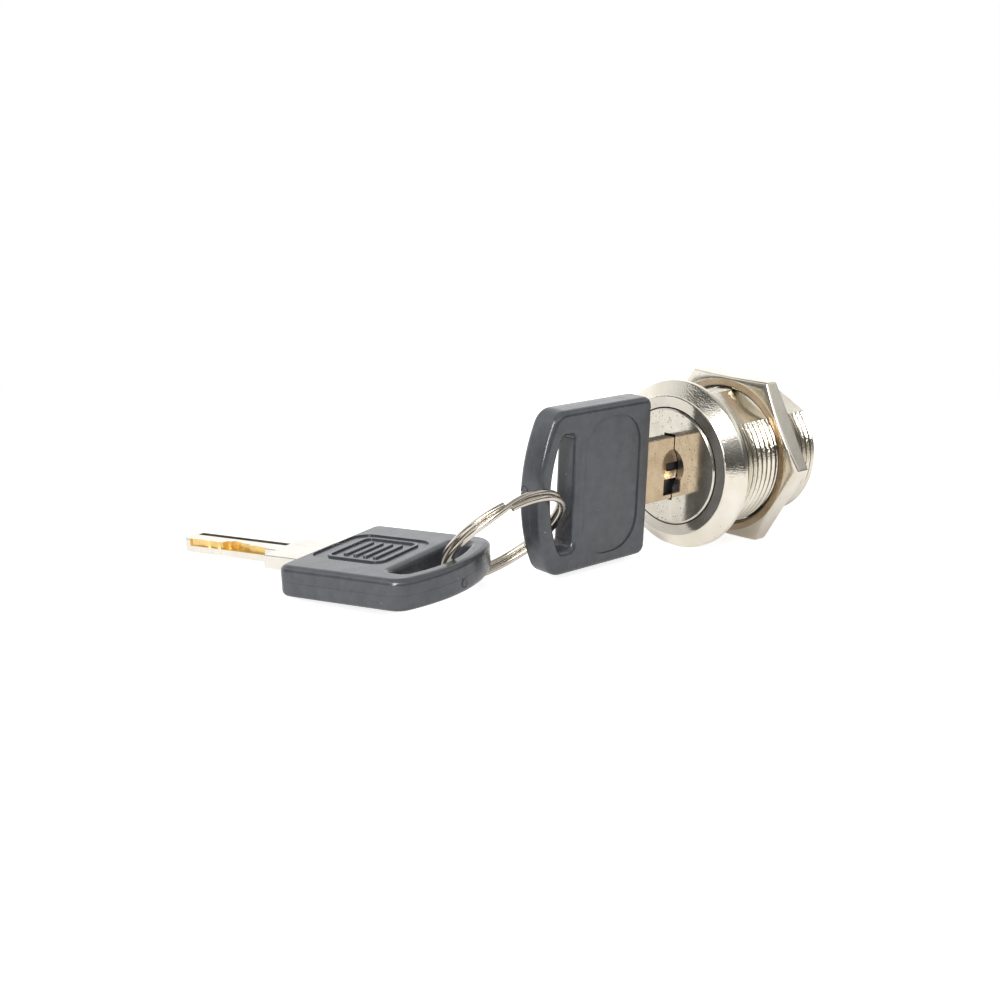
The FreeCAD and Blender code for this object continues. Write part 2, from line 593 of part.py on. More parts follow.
def make_split_ring():
    """The split ring: two turns of wire side by side, with a jog between them."""
    half = RING_TURN_SPACING / 2
    first_end = 360 - RING_JOG_ANGLE / 2
    second_start = 360 + RING_JOG_ANGLE / 2
    points = []
    angle = 2.0
    while angle <= 718.0:
        if angle < first_end:
            offset = -half
        elif angle > second_start:
            offset = half
        else:
            share = (angle - first_end) / RING_JOG_ANGLE
            offset = -half * math.cos(math.pi * share)
        points.append(ring_point(angle + RING_END_ANGLE, offset))
        angle += 4.0
    curve = Part.BSplineCurve()
    curve.interpolate(points)
    path = Part.Wire(curve.toShape())
    start_direction = curve.tangent(curve.FirstParameter)[0]
    section = Part.Wire(Part.makeCircle(RING_WIRE_RADIUS, points[0], start_direction))
    return path.makePipeShell([section], True, False)


def save(node, shape):
    """Write one node and print its volume."""
    shape.exportStep("parts/" + node + ".step")
    print(node, round(shape.Volume, 3), shape.isValid(), len(shape.Solids))


def main():
    """Build every node."""
    blade = make_blade()
    head = make_head(blade)
    save("lock_body", make_lock_body())
    save("hex_nut", make_hex_nut())
    save("plug", make_plug())
    for index in range(WAFER_COUNT):
        save("wafer_" + str(index + 1), make_wafer(index))
    save("wafer_springs", make_wafer_springs())
    save("stop_washer", make_stop_washer())
    save("cam", make_cam())
    save("cam_washer", make_cam_washer())
    save("cam_screw", make_cam_screw())
    for name, placement in (("key_1", inserted_key_pose()), ("key_2", free_key_pose())):
        for piece, shape in (("blade", blade), ("head", head)):
            placed = shape.copy()
            placed.Placement = placement
            save(name + "_" + piece, placed)
    save("split_ring", make_split_ring())


main()
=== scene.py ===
"""Looks of a cart lock: a threaded cam lock with a key in its plug and a spare key on a split ring.

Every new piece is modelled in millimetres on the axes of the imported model: the lock's axis is Y, its face
looks along -Y and +Z is up. A finished piece is turned into metres, with its place in its mesh.
"""
from __future__ import annotations

import json
import logging
import math
from contextlib import contextmanager
from dataclasses import dataclass, field
from enum import Enum
from typing import Callable, Iterator

import bmesh
import bpy
from bpy.types import Material, Node, NodeSocket, NodeTree, Object
from mathutils import Matrix, Vector

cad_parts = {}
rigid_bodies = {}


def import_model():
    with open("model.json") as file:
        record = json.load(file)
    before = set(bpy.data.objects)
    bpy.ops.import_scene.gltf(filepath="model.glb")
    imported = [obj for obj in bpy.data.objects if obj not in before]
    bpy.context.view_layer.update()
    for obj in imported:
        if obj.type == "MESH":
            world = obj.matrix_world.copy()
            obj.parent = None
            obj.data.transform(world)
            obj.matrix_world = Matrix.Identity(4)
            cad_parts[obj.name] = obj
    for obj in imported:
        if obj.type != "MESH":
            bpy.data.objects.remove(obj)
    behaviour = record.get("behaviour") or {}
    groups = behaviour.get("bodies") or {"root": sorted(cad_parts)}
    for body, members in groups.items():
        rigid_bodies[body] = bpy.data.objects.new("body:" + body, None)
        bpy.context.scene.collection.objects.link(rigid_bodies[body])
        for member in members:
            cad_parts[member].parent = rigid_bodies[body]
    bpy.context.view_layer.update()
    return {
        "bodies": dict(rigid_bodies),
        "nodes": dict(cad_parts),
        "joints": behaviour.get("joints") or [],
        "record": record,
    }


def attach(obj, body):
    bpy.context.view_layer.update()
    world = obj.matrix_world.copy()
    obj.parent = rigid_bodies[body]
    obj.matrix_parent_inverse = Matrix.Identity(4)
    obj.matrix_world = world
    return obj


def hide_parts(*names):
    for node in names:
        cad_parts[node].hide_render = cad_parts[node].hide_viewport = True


log = logging.getLogger("cart_lock")

Colour = tuple[float, float, float]
Point = tuple[float, float, float]
Span = tuple[float, float]
Stops = tuple[tuple[float, float], ...]
FaceTest = Callable[[Vector, Vector], bool]
EdgeTest = Callable[[Vector, Vector], bool]

METRES = 0.001
PICTURE_PIXELS = 1000.0
TABLE_HEIGHT = -11.65

# How far a cutting tool reaches past a piece, and a distance that counts as touching, in millimetres
OVER = 1.0
HAIR = 0.01

# The turn that lays a primitive along the lock's axis
ALONG_AXIS = (math.pi / 2, 0.0, 0.0)

# The values between which most of a noise lies
NOISE_MIDDLE = (0.3, 0.7)


class Body(str, Enum):
    """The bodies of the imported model."""

    LOCK = "lock"
    NUT = "nut"
    PLUG = "plug"
    KEY_1 = "key_1"
    RING = "ring"
    KEY_2 = "key_2"


class Slot(str, Enum):
    """The record's material slots that match the finishes of the new pieces."""

    NICKEL_BODY = "nickel_body"
    NICKEL_NUT = "nickel_nut"
    NICKEL_PLUG = "nickel_plug"
    NICKEL_BLADE = "nickel_blade"
    HEAD_PLASTIC = "head_plastic"
    RING_WIRE = "ring_wire"


class Cut(str, Enum):
    """How one solid works on another."""

    TAKE_AWAY = "DIFFERENCE"
    JOIN = "UNION"
    KEEP_COMMON = "INTERSECT"


# Finishes


def set_stops(ramp: Node, stops: list[tuple[float, Colour]]) -> None:
    """Set the stops of a new colour ramp.

    Args:
        ramp: the ramp node.
        stops: the positions and colours, in order.
    """
    elements = ramp.color_ramp.elements
    while len(elements) < len(stops):
        elements.new(0.5)
    for element, (position, colour) in zip(elements, stops):
        element.position = position
        element.color = (*colour, 1.0)


def colour_output(node: Node) -> NodeSocket:
    """The colour output of a mix or ramp node."""
    return node.outputs[2] if node.bl_idname == "ShaderNodeMix" else node.outputs["Color"]


class NodeSheet:
    """The node tree of one material, with short calls for adding and joining nodes."""

    def __init__(self, name: str) -> None:
        """Start a material with a shader and nothing joined to it.

        Args:
            name: the material's name.
        """
        self.material = bpy.data.materials.new(name)
        self.material.use_nodes = True
        self.tree = self.material.node_tree
        self.tree.nodes.clear()
        output = self.tree.nodes.new("ShaderNodeOutputMaterial")
        self.shader = self.tree.nodes.new("ShaderNodeBsdfPrincipled")
        self.join(self.shader, "BSDF", output, "Surface")
        self.place = self.tree.nodes.new("ShaderNodeTexCoord")

    def join(self, source: Node, out: str, target: Node, into: str | int) -> None:
        """Link one node's output to another's input.

        Args:
            source: the node that gives the value.
            out: the name of its output.
            target: the node that takes the value.
            into: the name or number of its input.
        """
        self.tree.links.new(source.outputs[out], target.inputs[into])

    def set_shader(self, **values: float | tuple) -> None:
        """Set constants on the shader's own sockets, with underscores for the spaces in their names."""
        for name, value in values.items():
            self.shader.inputs[name.replace("_", " ")].default_value = value

    def noise(self, scale: float, detail: float = 2.0, stretch: Point = (1.0, 1.0, 1.0)) -> Node:
        """Add a noise on object coordinates.

        Args:
            scale: features per metre.
            detail: how many finer layers it has.
            stretch: the scale along each axis.

        Returns:
            The noise node, whose Fac output is used.
        """
        mapping = self.tree.nodes.new("ShaderNodeMapping")
        mapping.inputs["Scale"].default_value = stretch
        self.join(self.place, "Object", mapping, "Vector")
        node = self.tree.nodes.new("ShaderNodeTexNoise")
        node.inputs["Scale"].default_value = scale
        node.inputs["Detail"].default_value = detail
        self.join(mapping, "Vector", node, "Vector")
        return node

    def specks(self, scale: float) -> Node:
        """Add cells on object coordinates, whose Distance is small at each speck's middle.

        Args:
            scale: cells per metre.

        Returns:
            The Voronoi node.
        """
        node = self.tree.nodes.new("ShaderNodeTexVoronoi")
        node.inputs["Scale"].default_value = scale
        self.join(self.place, "Object", node, "Vector")
        return node

    def turning_marks(self, scale: float, waver: float) -> Node:
        """Add fine rings about the lock's axis, as a turning tool leaves them.

        Args:
            scale: how close the rings are.
            waver: how far they stray from true circles.

        Returns:
            The wave node, whose Fac output is used.
        """
        node = self.tree.nodes.new("ShaderNodeTexWave")
        node.wave_type = "RINGS"
        node.rings_direction = "Y"
        node.inputs["Scale"].default_value = scale
        node.inputs["Distortion"].default_value = waver
        self.join(self.place, "Object", node, "Vector")
        return node

    def shaded_lower_side(self, cloud: Node, wander: float, border: Span, cover: float) -> Node:
        """Add a mask of the piece's lower side with a cloudy border, for painted shade.

        Args:
            cloud: the noise that moves the border.
            wander: how far it moves it, in metres.
            border: the heights of the most painted shade and of none, in metres.
            cover: how much the painted shade covers at its most.

        Returns:
            The map range node, whose Result output is used.
        """
        parts = self.tree.nodes.new("ShaderNodeSeparateXYZ")
        self.join(self.place, "Object", parts, "Vector")
        node = self.tree.nodes.new("ShaderNodeMath")
        node.operation = "MULTIPLY_ADD"
        self.join(cloud, "Fac", node, 0)
        node.inputs[1].default_value = wander
        self.join(parts, "Z", node, 2)
        return self.spread(node, "Value", border, (cover, 0.0))

    def ramp(self, source: Node, out: str, stops: list[tuple[float, Colour]]) -> Node:
        """Add a colour ramp on a value.

        Args:
            source: the node that gives the value.
            out: the name of its output.
            stops: the positions and colours, in order.

        Returns:
            The ramp node, whose Color output is used.
        """
        node = self.tree.nodes.new("ShaderNodeValToRGB")
        set_stops(node, stops)
        self.join(source, out, node, "Fac")
        return node

    def spread(self, source: Node, out: str, span: Span, onto: Span) -> Node:
        """Map a value from one range to another, held at its ends.

        Args:
            source: the node that gives the value.
            out: the name of its output.
            span: the two values between which it changes.
            onto: the results at these two values.

        Returns:
            The map range node, whose Result output is used.
        """
        node = self.tree.nodes.new("ShaderNodeMapRange")
        node.inputs["From Min"].default_value, node.inputs["From Max"].default_value = span
        node.inputs["To Min"].default_value, node.inputs["To Max"].default_value = onto
        self.join(source, out, node, "Value")
        return node

    def uneven(self, noise: Node, roughness: Span) -> Node:
        """Spread the middle of a noise between two values of roughness."""
        return self.spread(noise, "Fac", NOISE_MIDDLE, roughness)

    def higher(self, first: Node, second: Node) -> Node:
        """Take the higher of two values.

        Args:
            first: a map range node.
            second: another one.

        Returns:
            The math node, whose Value output is used.
        """
        node = self.tree.nodes.new("ShaderNodeMath")
        node.operation = "MAXIMUM"
        self.join(first, "Result", node, 0)
        self.join(second, "Result", node, 1)
        return node

    def mix(self, factor: Node, out: str, first: Node | Colour, second: Node | Colour) -> Node:
        """Mix two colours by a factor.

        Args:
            factor: the node that gives the factor.
            out: the name of its output.
            first: a colour, or a mix or ramp node.
            second: a colour, or a mix or ramp node.

        Returns:
            The mix node, whose colour output is number 2.
        """
        node = self.tree.nodes.new("ShaderNodeMix")
        node.data_type = "RGBA"
        self.join(factor, out, node, 0)
        for index, part in ((6, first), (7, second)):
            if isinstance(part, tuple):
                node.inputs[index].default_value = (*part, 1.0)
            else:
                self.tree.links.new(colour_output(part), node.inputs[index])
        return node

    def bump(self, source: Node, out: str, depth: float, under: Node | None = None) -> Node:
        """Add a bump of a real depth.

        Args:
            source: the node that gives the height from 0 to 1.
            out: the name of its output.
            depth: the height of 1, in metres.
            under: another bump that this one lies on.

        Returns:
            The bump node, whose Normal output is used.
        """
        node = self.tree.nodes.new("ShaderNodeBump")
        node.inputs["Strength"].default_value = 1.0
        node.inputs["Distance"].default_value = depth
        self.join(source, out, node, "Height")
        if under is not None:
            self.join(under, "Normal", node, "Normal")
        return node

    def finished(self, colour: Node, relief: Node, rough: Node | None = None) -> Material:
        """Join the last nodes to the shader.

        Args:
            colour: the mix or ramp node that gives the colour.
            relief: the uppermost bump.
            rough: the map range node that gives the roughness, where it varies.

        Returns:
            The material.
        """
        self.tree.links.new(colour_output(colour), self.shader.inputs["Base Color"])
        self.join(relief, "Normal", self.shader, "Normal")
        if rough is not None:
            self.join(rough, "Result", self.shader, "Roughness")
        return self.material


@dataclass(frozen=True)
class NickelFinish:
    """Nickel plate over a zinc casting: a warm mirror with a satin cast skin and small pits.

    Scales are per metre and depths are in metres. A pit's size is a share of its cell.
    """

    name: str
    colour: Colour = (0.82, 0.78, 0.69)
    stain: Colour = (0.74, 0.68, 0.57)
    roughness: Span = (0.09, 0.20)
    rough_scale: float = 900.0
    metal_share: float = 0.98
    cloud_scale: float = 260.0
    cloud_edges: Span = (0.35, 0.75)
    wave_scale: float = 420.0
    wave_depth: float = 0.00002
    skin_scale: float = 4600.0
    skin_depth: float = 0.0000065
    pit_scale: float = 1300.0
    pit_size: float = 0.09
    pit_rim: float = 0.75
    pit_depth: float = 0.00003
    pit_colour: Colour = (0.07, 0.06, 0.05)
    patch_scale: float = 300.0
    patch_edge: float = 0.45
    patch_blend: float = 0.06
    turning_scale: float = 620.0
    turning_waver: float = 1.5
    turning_depth: float = 0.0
    # painted shade on the piece's lower side, where set
    low_shade: Colour | None = None
    low_scale: float = 330.0
    low_wander: float = 0.006
    low_border: Span = (-0.0075, -0.0035)
    low_cover: float = 0.55

    def pits(self, sheet: NodeSheet) -> Node:
        """Add a mask that is 0 in the pits, which lie in patches, and 1 around them.

        Args:
            sheet: the material's nodes.

        Returns:
            The math node, whose Value output is used.
        """
        sizes = (self.pit_size * self.pit_rim, self.pit_size)
        around = sheet.spread(sheet.specks(self.pit_scale), "Distance", sizes, (0.0, 1.0))
        edges = (self.patch_edge, self.patch_edge + self.patch_blend)
        clean = sheet.spread(sheet.noise(self.patch_scale, 2.0), "Fac", edges, (0.0, 1.0))
        return sheet.higher(around, clean)

    def material(self) -> Material:
        """Build the material.

        Returns:
            The material.
        """
        sheet = NodeSheet(self.name)
        sheet.set_shader(Metallic=self.metal_share)
        clean, stained = self.cloud_edges
        cloud = sheet.noise(self.cloud_scale, 4.0)
        tone = sheet.ramp(cloud, "Fac", [(clean, self.colour), (stained, self.stain)])
        # Painted shade: the piece is darker on its lower side.
        if self.low_shade is not None:
            border_cloud = sheet.noise(self.low_scale, 3.0)
            lower_shade = sheet.shaded_lower_side(border_cloud, self.low_wander, self.low_border, self.low_cover)
            tone = sheet.mix(lower_shade, "Result", tone, self.low_shade)
        pits = self.pits(sheet)
        pitted = sheet.mix(pits, "Value", self.pit_colour, tone)
        rough = sheet.uneven(sheet.noise(self.rough_scale, 4.0), self.roughness)
        waves = sheet.bump(sheet.noise(self.wave_scale, 1.0), "Fac", self.wave_depth)
        skin = sheet.bump(sheet.noise(self.skin_scale, 3.0), "Fac", self.skin_depth, waves)
        relief = sheet.bump(pits, "Value", self.pit_depth, skin)
        if self.turning_depth:
            rings = sheet.turning_marks(self.turning_scale, self.turning_waver)
            relief = sheet.bump(rings, "Fac", self.turning_depth, relief)
        return sheet.finished(pitted, relief, rough)


@dataclass(frozen=True)
class BrassFinish:
    """Bare cut brass with fine cutter marks."""

    name: str
    colour: Colour = (0.92, 0.70, 0.30)
    dark: Colour = (0.74, 0.50, 0.18)
    roughness: float = 0.36
    cloud_scale: float = 700.0
    cloud_edges: Span = (0.3, 0.8)
    mark_scale: float = 2600.0
    mark_stretch: Point = (1.0, 1.0, 6.0)
    mark_depth: float = 0.000012

    def material(self) -> Material:
        """Build the material.

        Returns:
            The material.
        """
        sheet = NodeSheet(self.name)
        sheet.set_shader(Metallic=1.0, Roughness=self.roughness)
        clean, dull = self.cloud_edges
        cloud = sheet.noise(self.cloud_scale, 4.0)
        tone = sheet.ramp(cloud, "Fac", [(clean, self.colour), (dull, self.dark)])
        marks = sheet.bump(sheet.noise(self.mark_scale, 2.0, self.mark_stretch), "Fac", self.mark_depth)
        return sheet.finished(tone, marks)


@dataclass(frozen=True)
class PlasticFinish:
    """Moulded slate-grey plastic, half gloss, with fine grain, rubbed patches and a few specks of dust."""

    name: str
    colour: Colour = (0.051, 0.054, 0.062)
    worn: Colour = (0.070, 0.073, 0.082)
    dust: Colour = (0.22, 0.22, 0.23)
    roughness: Span = (0.16, 0.27)
    rough_scale: float = 500.0
    refraction: float = 1.6
    rub_scale: float = 700.0
    rub_edges: Span = (0.35, 0.75)
    dust_scale: float = 430.0
    dust_size: Span = (0.03, 0.055)
    swell_scale: float = 260.0
    swell_depth: float = 0.00002
    grain_scale: float = 3800.0
    grain_depth: float = 0.000009

    def material(self) -> Material:
        """Build the material.

        Returns:
            The material.
        """
        sheet = NodeSheet(self.name)
        sheet.set_shader(Metallic=0.0, IOR=self.refraction)
        fresh, rubbed = self.rub_edges
        rubs = sheet.noise(self.rub_scale, 8.0)
        tone = sheet.ramp(rubs, "Fac", [(fresh, self.colour), (rubbed, self.worn)])
        free = sheet.spread(sheet.specks(self.dust_scale), "Distance", self.dust_size, (0.0, 1.0))
        dusted = sheet.mix(free, "Result", self.dust, tone)
        rough = sheet.uneven(sheet.noise(self.rough_scale, 4.0), self.roughness)
        swell = sheet.bump(sheet.noise(self.swell_scale, 1.0), "Fac", self.swell_depth)
        grain = sheet.bump(sheet.noise(self.grain_scale, 4.0), "Fac", self.grain_depth, swell)
        return sheet.finished(dusted, grain, rough)


@dataclass(frozen=True)
class SteelFinish:
    """Plated, bare or grimy steel, with a fine grain that can be drawn out along an axis."""

    name: str
    colour: Colour
    dark: Colour
    roughness: Span
    rough_scale: float = 1200.0
    cloud_scale: float = 380.0
    cloud_edges: Span = (0.35, 0.75)
    grain_scale: float = 3600.0
    grain_stretch: Point = (1.0, 1.0, 1.0)
    grain_depth: float = 0.000004

    def material(self) -> Material:
        """Build the material.

        Returns:
            The material.
        """
        sheet = NodeSheet(self.name)
        sheet.set_shader(Metallic=1.0)
        clean, dull = self.cloud_edges
        cloud = sheet.noise(self.cloud_scale, 4.0)
        tone = sheet.ramp(cloud, "Fac", [(clean, self.colour), (dull, self.dark)])
        rough = sheet.uneven(sheet.noise(self.rough_scale, 3.0, self.grain_stretch), self.roughness)
        grain = sheet.bump(sheet.noise(self.grain_scale, 3.0, self.grain_stretch), "Fac", self.grain_depth)
        return sheet.finished(tone, grain, rough)


BODY_NICKEL = NickelFinish(
    "cast_nickel_body",
    roughness=(0.05, 0.12),
    skin_scale=4200.0,
    skin_depth=0.000022,
)
# The flange's face: a darker copy of the body's nickel, painted shade, with real turning marks
SHADED_FACE_NICKEL = NickelFinish(
    "turned_face_painted_shade",
    colour=(0.66, 0.62, 0.55),
    stain=(0.55, 0.51, 0.44),
    roughness=(0.05, 0.12),
    metal_share=0.91,
    skin_depth=0.0000025,
    wave_depth=0.00001,
    turning_depth=0.0000015,
)
NUT_NICKEL = NickelFinish(
    "cast_nickel_nut",
    colour=(0.78, 0.74, 0.65),
    stain=(0.70, 0.64, 0.53),
    roughness=(0.12, 0.24),
    skin_depth=0.000010,
    # painted shade on the nut's lower side
    low_shade=(0.50, 0.42, 0.33),
)
# The nut's front face: a browner, darker copy of its nickel, a painted warm reflection
NUT_FACE_REFLECTION_NICKEL = NickelFinish(
    "nut_face_painted_reflection",
    colour=(0.52, 0.41, 0.29),
    stain=(0.38, 0.29, 0.20),
    roughness=(0.16, 0.28),
    skin_depth=0.000008,
)
PLUG_NICKEL = NickelFinish(
    "cast_nickel_plug",
    colour=(0.69, 0.65, 0.57),
    stain=(0.58, 0.54, 0.46),
    roughness=(0.08, 0.15),
    metal_share=0.94,
    cloud_scale=700.0,
    cloud_edges=(0.40, 0.80),
    wave_depth=0.000008,
    skin_depth=0.0000025,
    pit_scale=2300.0,
    pit_size=0.19,
    pit_depth=0.000008,
    pit_colour=(0.12, 0.10, 0.07),
    patch_scale=1500.0,
    patch_edge=0.50,
)
BLADE_NICKEL = NickelFinish(
    "pressed_nickel_blade",
    colour=(0.80, 0.77, 0.71),
    stain=(0.72, 0.68, 0.60),
    roughness=(0.12, 0.24),
    skin_depth=0.000004,
    pit_size=0.08,
)
# The blade of the key in the plug: mottled tarnish, with its warm tan tone a painted reflection
TARNISH_AND_REFLECTION_NICKEL = NickelFinish(
    "tarnish_and_painted_reflection_blade",
    colour=(0.80, 0.67, 0.51),
    stain=(0.64, 0.50, 0.36),
    roughness=(0.12, 0.20),
    cloud_scale=420.0,
    cloud_edges=(0.42, 0.85),
    wave_depth=0.000008,
    skin_depth=0.000004,
    pit_scale=2100.0,
    pit_size=0.17,
    pit_depth=0.000008,
    pit_colour=(0.16, 0.11, 0.07),
    patch_scale=1300.0,
    patch_edge=0.46,
)
# Painted shade low in the thread's roots
THREAD_ROOT_SHADE = SteelFinish("thread_root_painted_shade", (0.20, 0.17, 0.13), (0.09, 0.08, 0.06), (0.45, 0.60))
# A darker, rougher nickel in the plug's dish
DISH_NICKEL = SteelFinish("darker_dish_nickel", (0.46, 0.42, 0.36), (0.31, 0.28, 0.24), (0.26, 0.40))
# Painted shade in the plug's openings, the bore's mouth and the grooves of the key in the plug
POCKET_SHADE = SteelFinish("pocket_painted_shade", (0.14, 0.135, 0.14), (0.085, 0.080, 0.082), (0.45, 0.60))
GROOVE_SHADE = SteelFinish("groove_shade", (0.30, 0.27, 0.22), (0.20, 0.175, 0.14), (0.38, 0.55))
# Painted shade on the neck's long edges of the key in the plug
NECK_EDGE_SHADE = SteelFinish("neck_edge_painted_shade", (0.58, 0.53, 0.45), (0.34, 0.30, 0.25), (0.20, 0.36))
RING_STEEL = SteelFinish("ring_wire_steel", (0.68, 0.63, 0.55), (0.52, 0.46, 0.38), (0.14, 0.26))
SPRING_STEEL = SteelFinish("spring_steel", (0.42, 0.41, 0.40), (0.30, 0.29, 0.28), (0.25, 0.40))
ZINC_STEEL = SteelFinish(
    "zinc_plated_steel",
    (0.62, 0.63, 0.64),
    (0.48, 0.50, 0.53),
    (0.22, 0.38),
    grain_stretch=(1.0, 4.0, 1.0),
)
CUT_BRASS = BrassFinish("cut_brass")
WAFER_BRASS = BrassFinish("stamped_brass")
HEAD_PLASTIC = PlasticFinish("slate_plastic")


# The bench: short calls around the modelling operators


def off_axis(point: Vector) -> float:
    """How far a point is from the lock's axis."""
    return math.hypot(point.x, point.z)


def deselect_everything() -> None:
    """Leave edit mode and deselect all objects."""
    active = bpy.context.view_layer.objects.active
    if active is not None and active.mode != "OBJECT":
        bpy.ops.object.mode_set(mode="OBJECT")
    bpy.ops.object.select_all(action="DESELECT")


def take_up(piece: Object) -> None:
    """Make a piece the only selected and the active one.

    Args:
        piece: the piece.
    """
    deselect_everything()
    piece.select_set(True)
    bpy.context.view_layer.objects.active = piece


@contextmanager
def editing(piece: Object) -> Iterator[Object]:
    """Work on a piece in edit mode, with nothing in it selected at the start.

    Args:
        piece: the piece.

    Yields:
        The same piece.
    """
    take_up(piece)
    bpy.ops.object.mode_set(mode="EDIT")
    bpy.ops.mesh.select_mode(type="VERT")
    bpy.ops.mesh.select_all(action="DESELECT")
    yield piece
    bpy.ops.object.mode_set(mode="OBJECT")


def new_piece(name: str) -> Object:
    """Name the primitive that was just added and put its place in its mesh.

    Args:
        name: the piece's name.

    Returns:
        The piece.
    """
    piece = bpy.context.object
    piece.name = name
    piece.data.name = name
    bpy.ops.object.transform_apply(location=True, rotation=True, scale=True)
    return piece


def cylinder(name: str, radius: float, start: float, end: float, sides: int = 96) -> Object:
    """A cylinder on the lock's axis.

    Args:
        name: the piece's name.
        radius: its radius.
        start: where it starts along the axis.
        end: where it ends along the axis.
        sides: how many sides it has.

    Returns:
        The new object.
    """
    deselect_everything()
    middle = (0.0, (start + end) / 2, 0.0)
    bpy.ops.mesh.primitive_cylinder_add(
        vertices=sides, radius=radius, depth=end - start, location=middle, rotation=ALONG_AXIS
    )
    return new_piece(name)


def block(name: str, low: Point, high: Point) -> Object:
    """A box between two corners.

    Args:
        name: the piece's name.
        low: its lowest corner.
        high: its highest corner.

    Returns:
        The new object.
    """
    deselect_everything()
    middle = tuple((a + b) / 2 for a, b in zip(low, high))
    bpy.ops.mesh.primitive_cube_add(size=1.0, location=middle)
    bpy.context.object.scale = tuple(b - a for a, b in zip(low, high))
    return new_piece(name)


def turned(name: str, profile: list[tuple[float, float]], sides: int = 128) -> Object:
    """A solid turned about the lock's axis, drawn out ring by ring from a filled circle.

    Args:
        name: the piece's name.
        profile: (radius, y) of each ring, from one capped end to the other.
        sides: how many sides each ring has.

    Returns:
        The new object.
    """
    deselect_everything()
    radius, y = profile[0]
    bpy.ops.mesh.primitive_circle_add(
        vertices=sides, radius=radius, fill_type="NGON", location=(0.0, y, 0.0), rotation=ALONG_AXIS
    )
    piece = new_piece(name)
    with editing(piece):
        bpy.ops.mesh.select_all(action="SELECT")
        for next_radius, next_y in profile[1:]:
            bpy.ops.mesh.extrude_region_move(TRANSFORM_OT_translate={"value": (0.0, next_y - y, 0.0)})
            share = next_radius / radius
            bpy.ops.transform.resize(value=(share, 1.0, share), center_override=(0.0, next_y, 0.0))
            radius, y = next_radius, next_y
        face_outwards()
    return piece


def face_outwards() -> None:
    """Turn all faces of the piece in edit mode outwards."""
    bpy.ops.mesh.select_all(action="SELECT")
    bpy.ops.mesh.normals_make_consistent(inside=False)
    bpy.ops.mesh.select_all(action="DESELECT")


def apply_modifier(piece: Object, kind: str, **settings: object) -> None:
    """Add a modifier to a piece, set it and apply it.

    Args:
        piece: the piece.
        kind: the modifier's type.
        settings: the values of its settings.
    """
    take_up(piece)
    bpy.ops.object.modifier_add(type=kind)
    modifier = piece.modifiers[-1]
    for name, value in settings.items():
        setattr(modifier, name, value)
    bpy.ops.object.modifier_apply(modifier=modifier.name)


def work(piece: Object, tool: Object, cut: Cut) -> None:
    """Join or take away a second solid, which is used up.

    Args:
        piece: the solid that stays.
        tool: the solid that works on it, whose material its cut faces keep.
        cut: what is done.
    """
    apply_modifier(
        piece, "BOOLEAN", operation=cut.value, solver="EXACT", object=tool, material_mode="TRANSFER"
    )
    bpy.data.objects.remove(tool)


def select_faces(test: FaceTest) -> None:
    """Select the faces whose middle and normal pass a test.

    Args:
        test: takes a face's middle and its normal.
    """
    bpy.ops.mesh.select_mode(type="FACE")
    bpy.ops.mesh.select_all(action="DESELECT")
    mesh = bmesh.from_edit_mesh(bpy.context.edit_object.data)
    found = [face for face in mesh.faces if test(face.calc_center_median(), face.normal)]
    for face in found:
        face.select_set(True)
    bmesh.update_edit_mesh(bpy.context.edit_object.data)


def select_edges(test: EdgeTest, sharper_than: float = 0.0) -> int:
    """Select the edges whose two ends pass a test.

    Args:
        test: takes the places of an edge's two ends.
        sharper_than: the least angle between the edge's faces, in degrees.

    Returns:
        How many are selected.
    """
    bpy.ops.mesh.select_mode(type="EDGE")
    bpy.ops.mesh.select_all(action="DESELECT")
    mesh = bmesh.from_edit_mesh(bpy.context.edit_object.data)
    found = []
    for edge in mesh.edges:
        if not test(edge.verts[0].co, edge.verts[1].co):
            continue
        if sharper_than and math.degrees(edge.calc_face_angle(0.0)) < sharper_than:
            continue
        found.append(edge)
    for edge in found:
        edge.select_set(True)
    bmesh.update_edit_mesh(bpy.context.edit_object.data)
    return len(found)


def round_edges(
    piece: Object, test: EdgeTest, width: float, steps: int = 3, sharper_than: float = 20.0
) -> None:
    """Round the edges that pass a test.

    Args:
        piece: the piece.
        test: takes the places of an edge's two ends.
        width: how far the rounding reaches on each side.
        steps: how many faces it has.
        sharper_than: the least angle between an edge's faces, in degrees.
    """
    with editing(piece):
        count = select_edges(test, sharper_than)
        if count:
            bpy.ops.mesh.bevel(offset=width, segments=steps, affect="EDGES", clamp_overlap=True)
        log.debug("%s: %d edges rounded by %.2f mm", piece.name, count, width)


def soften(piece: Object, width: float, steps: int = 2, angle: float = 35.0) -> None:
    """Break all sharp edges with a bevel modifier.

    Args:
        piece: the piece.
        width: the bevel's width.
        steps: how many faces it has.
        angle: the least angle of an edge that is bevelled, in degrees.
    """
    apply_modifier(
        piece,
        "BEVEL",
        width=width,
        segments=steps,
        limit_method="ANGLE",
        angle_limit=math.radians(angle),
        use_clamp_overlap=True,
    )


def drop_slivers(piece: Object) -> None:
    """Dissolve the edges and faces of no size that cutting leaves.

    Args:
        piece: the piece.
    """
    with editing(piece):
        bpy.ops.mesh.select_all(action="SELECT")
        bpy.ops.mesh.dissolve_degenerate(threshold=0.001)


def trim(piece: Object, point: Point, normal: Point) -> None:
    """Saw off one side of a closed piece and fill the cut.

    Args:
        piece: the piece.
        point: a point in the plane of the cut.
        normal: the direction of the side that is sawn off.
    """
    with editing(piece):
        bpy.ops.mesh.select_all(action="SELECT")
        bpy.ops.mesh.bisect(plane_co=point, plane_no=normal, use_fill=True, clear_outer=True, threshold=1e-4)


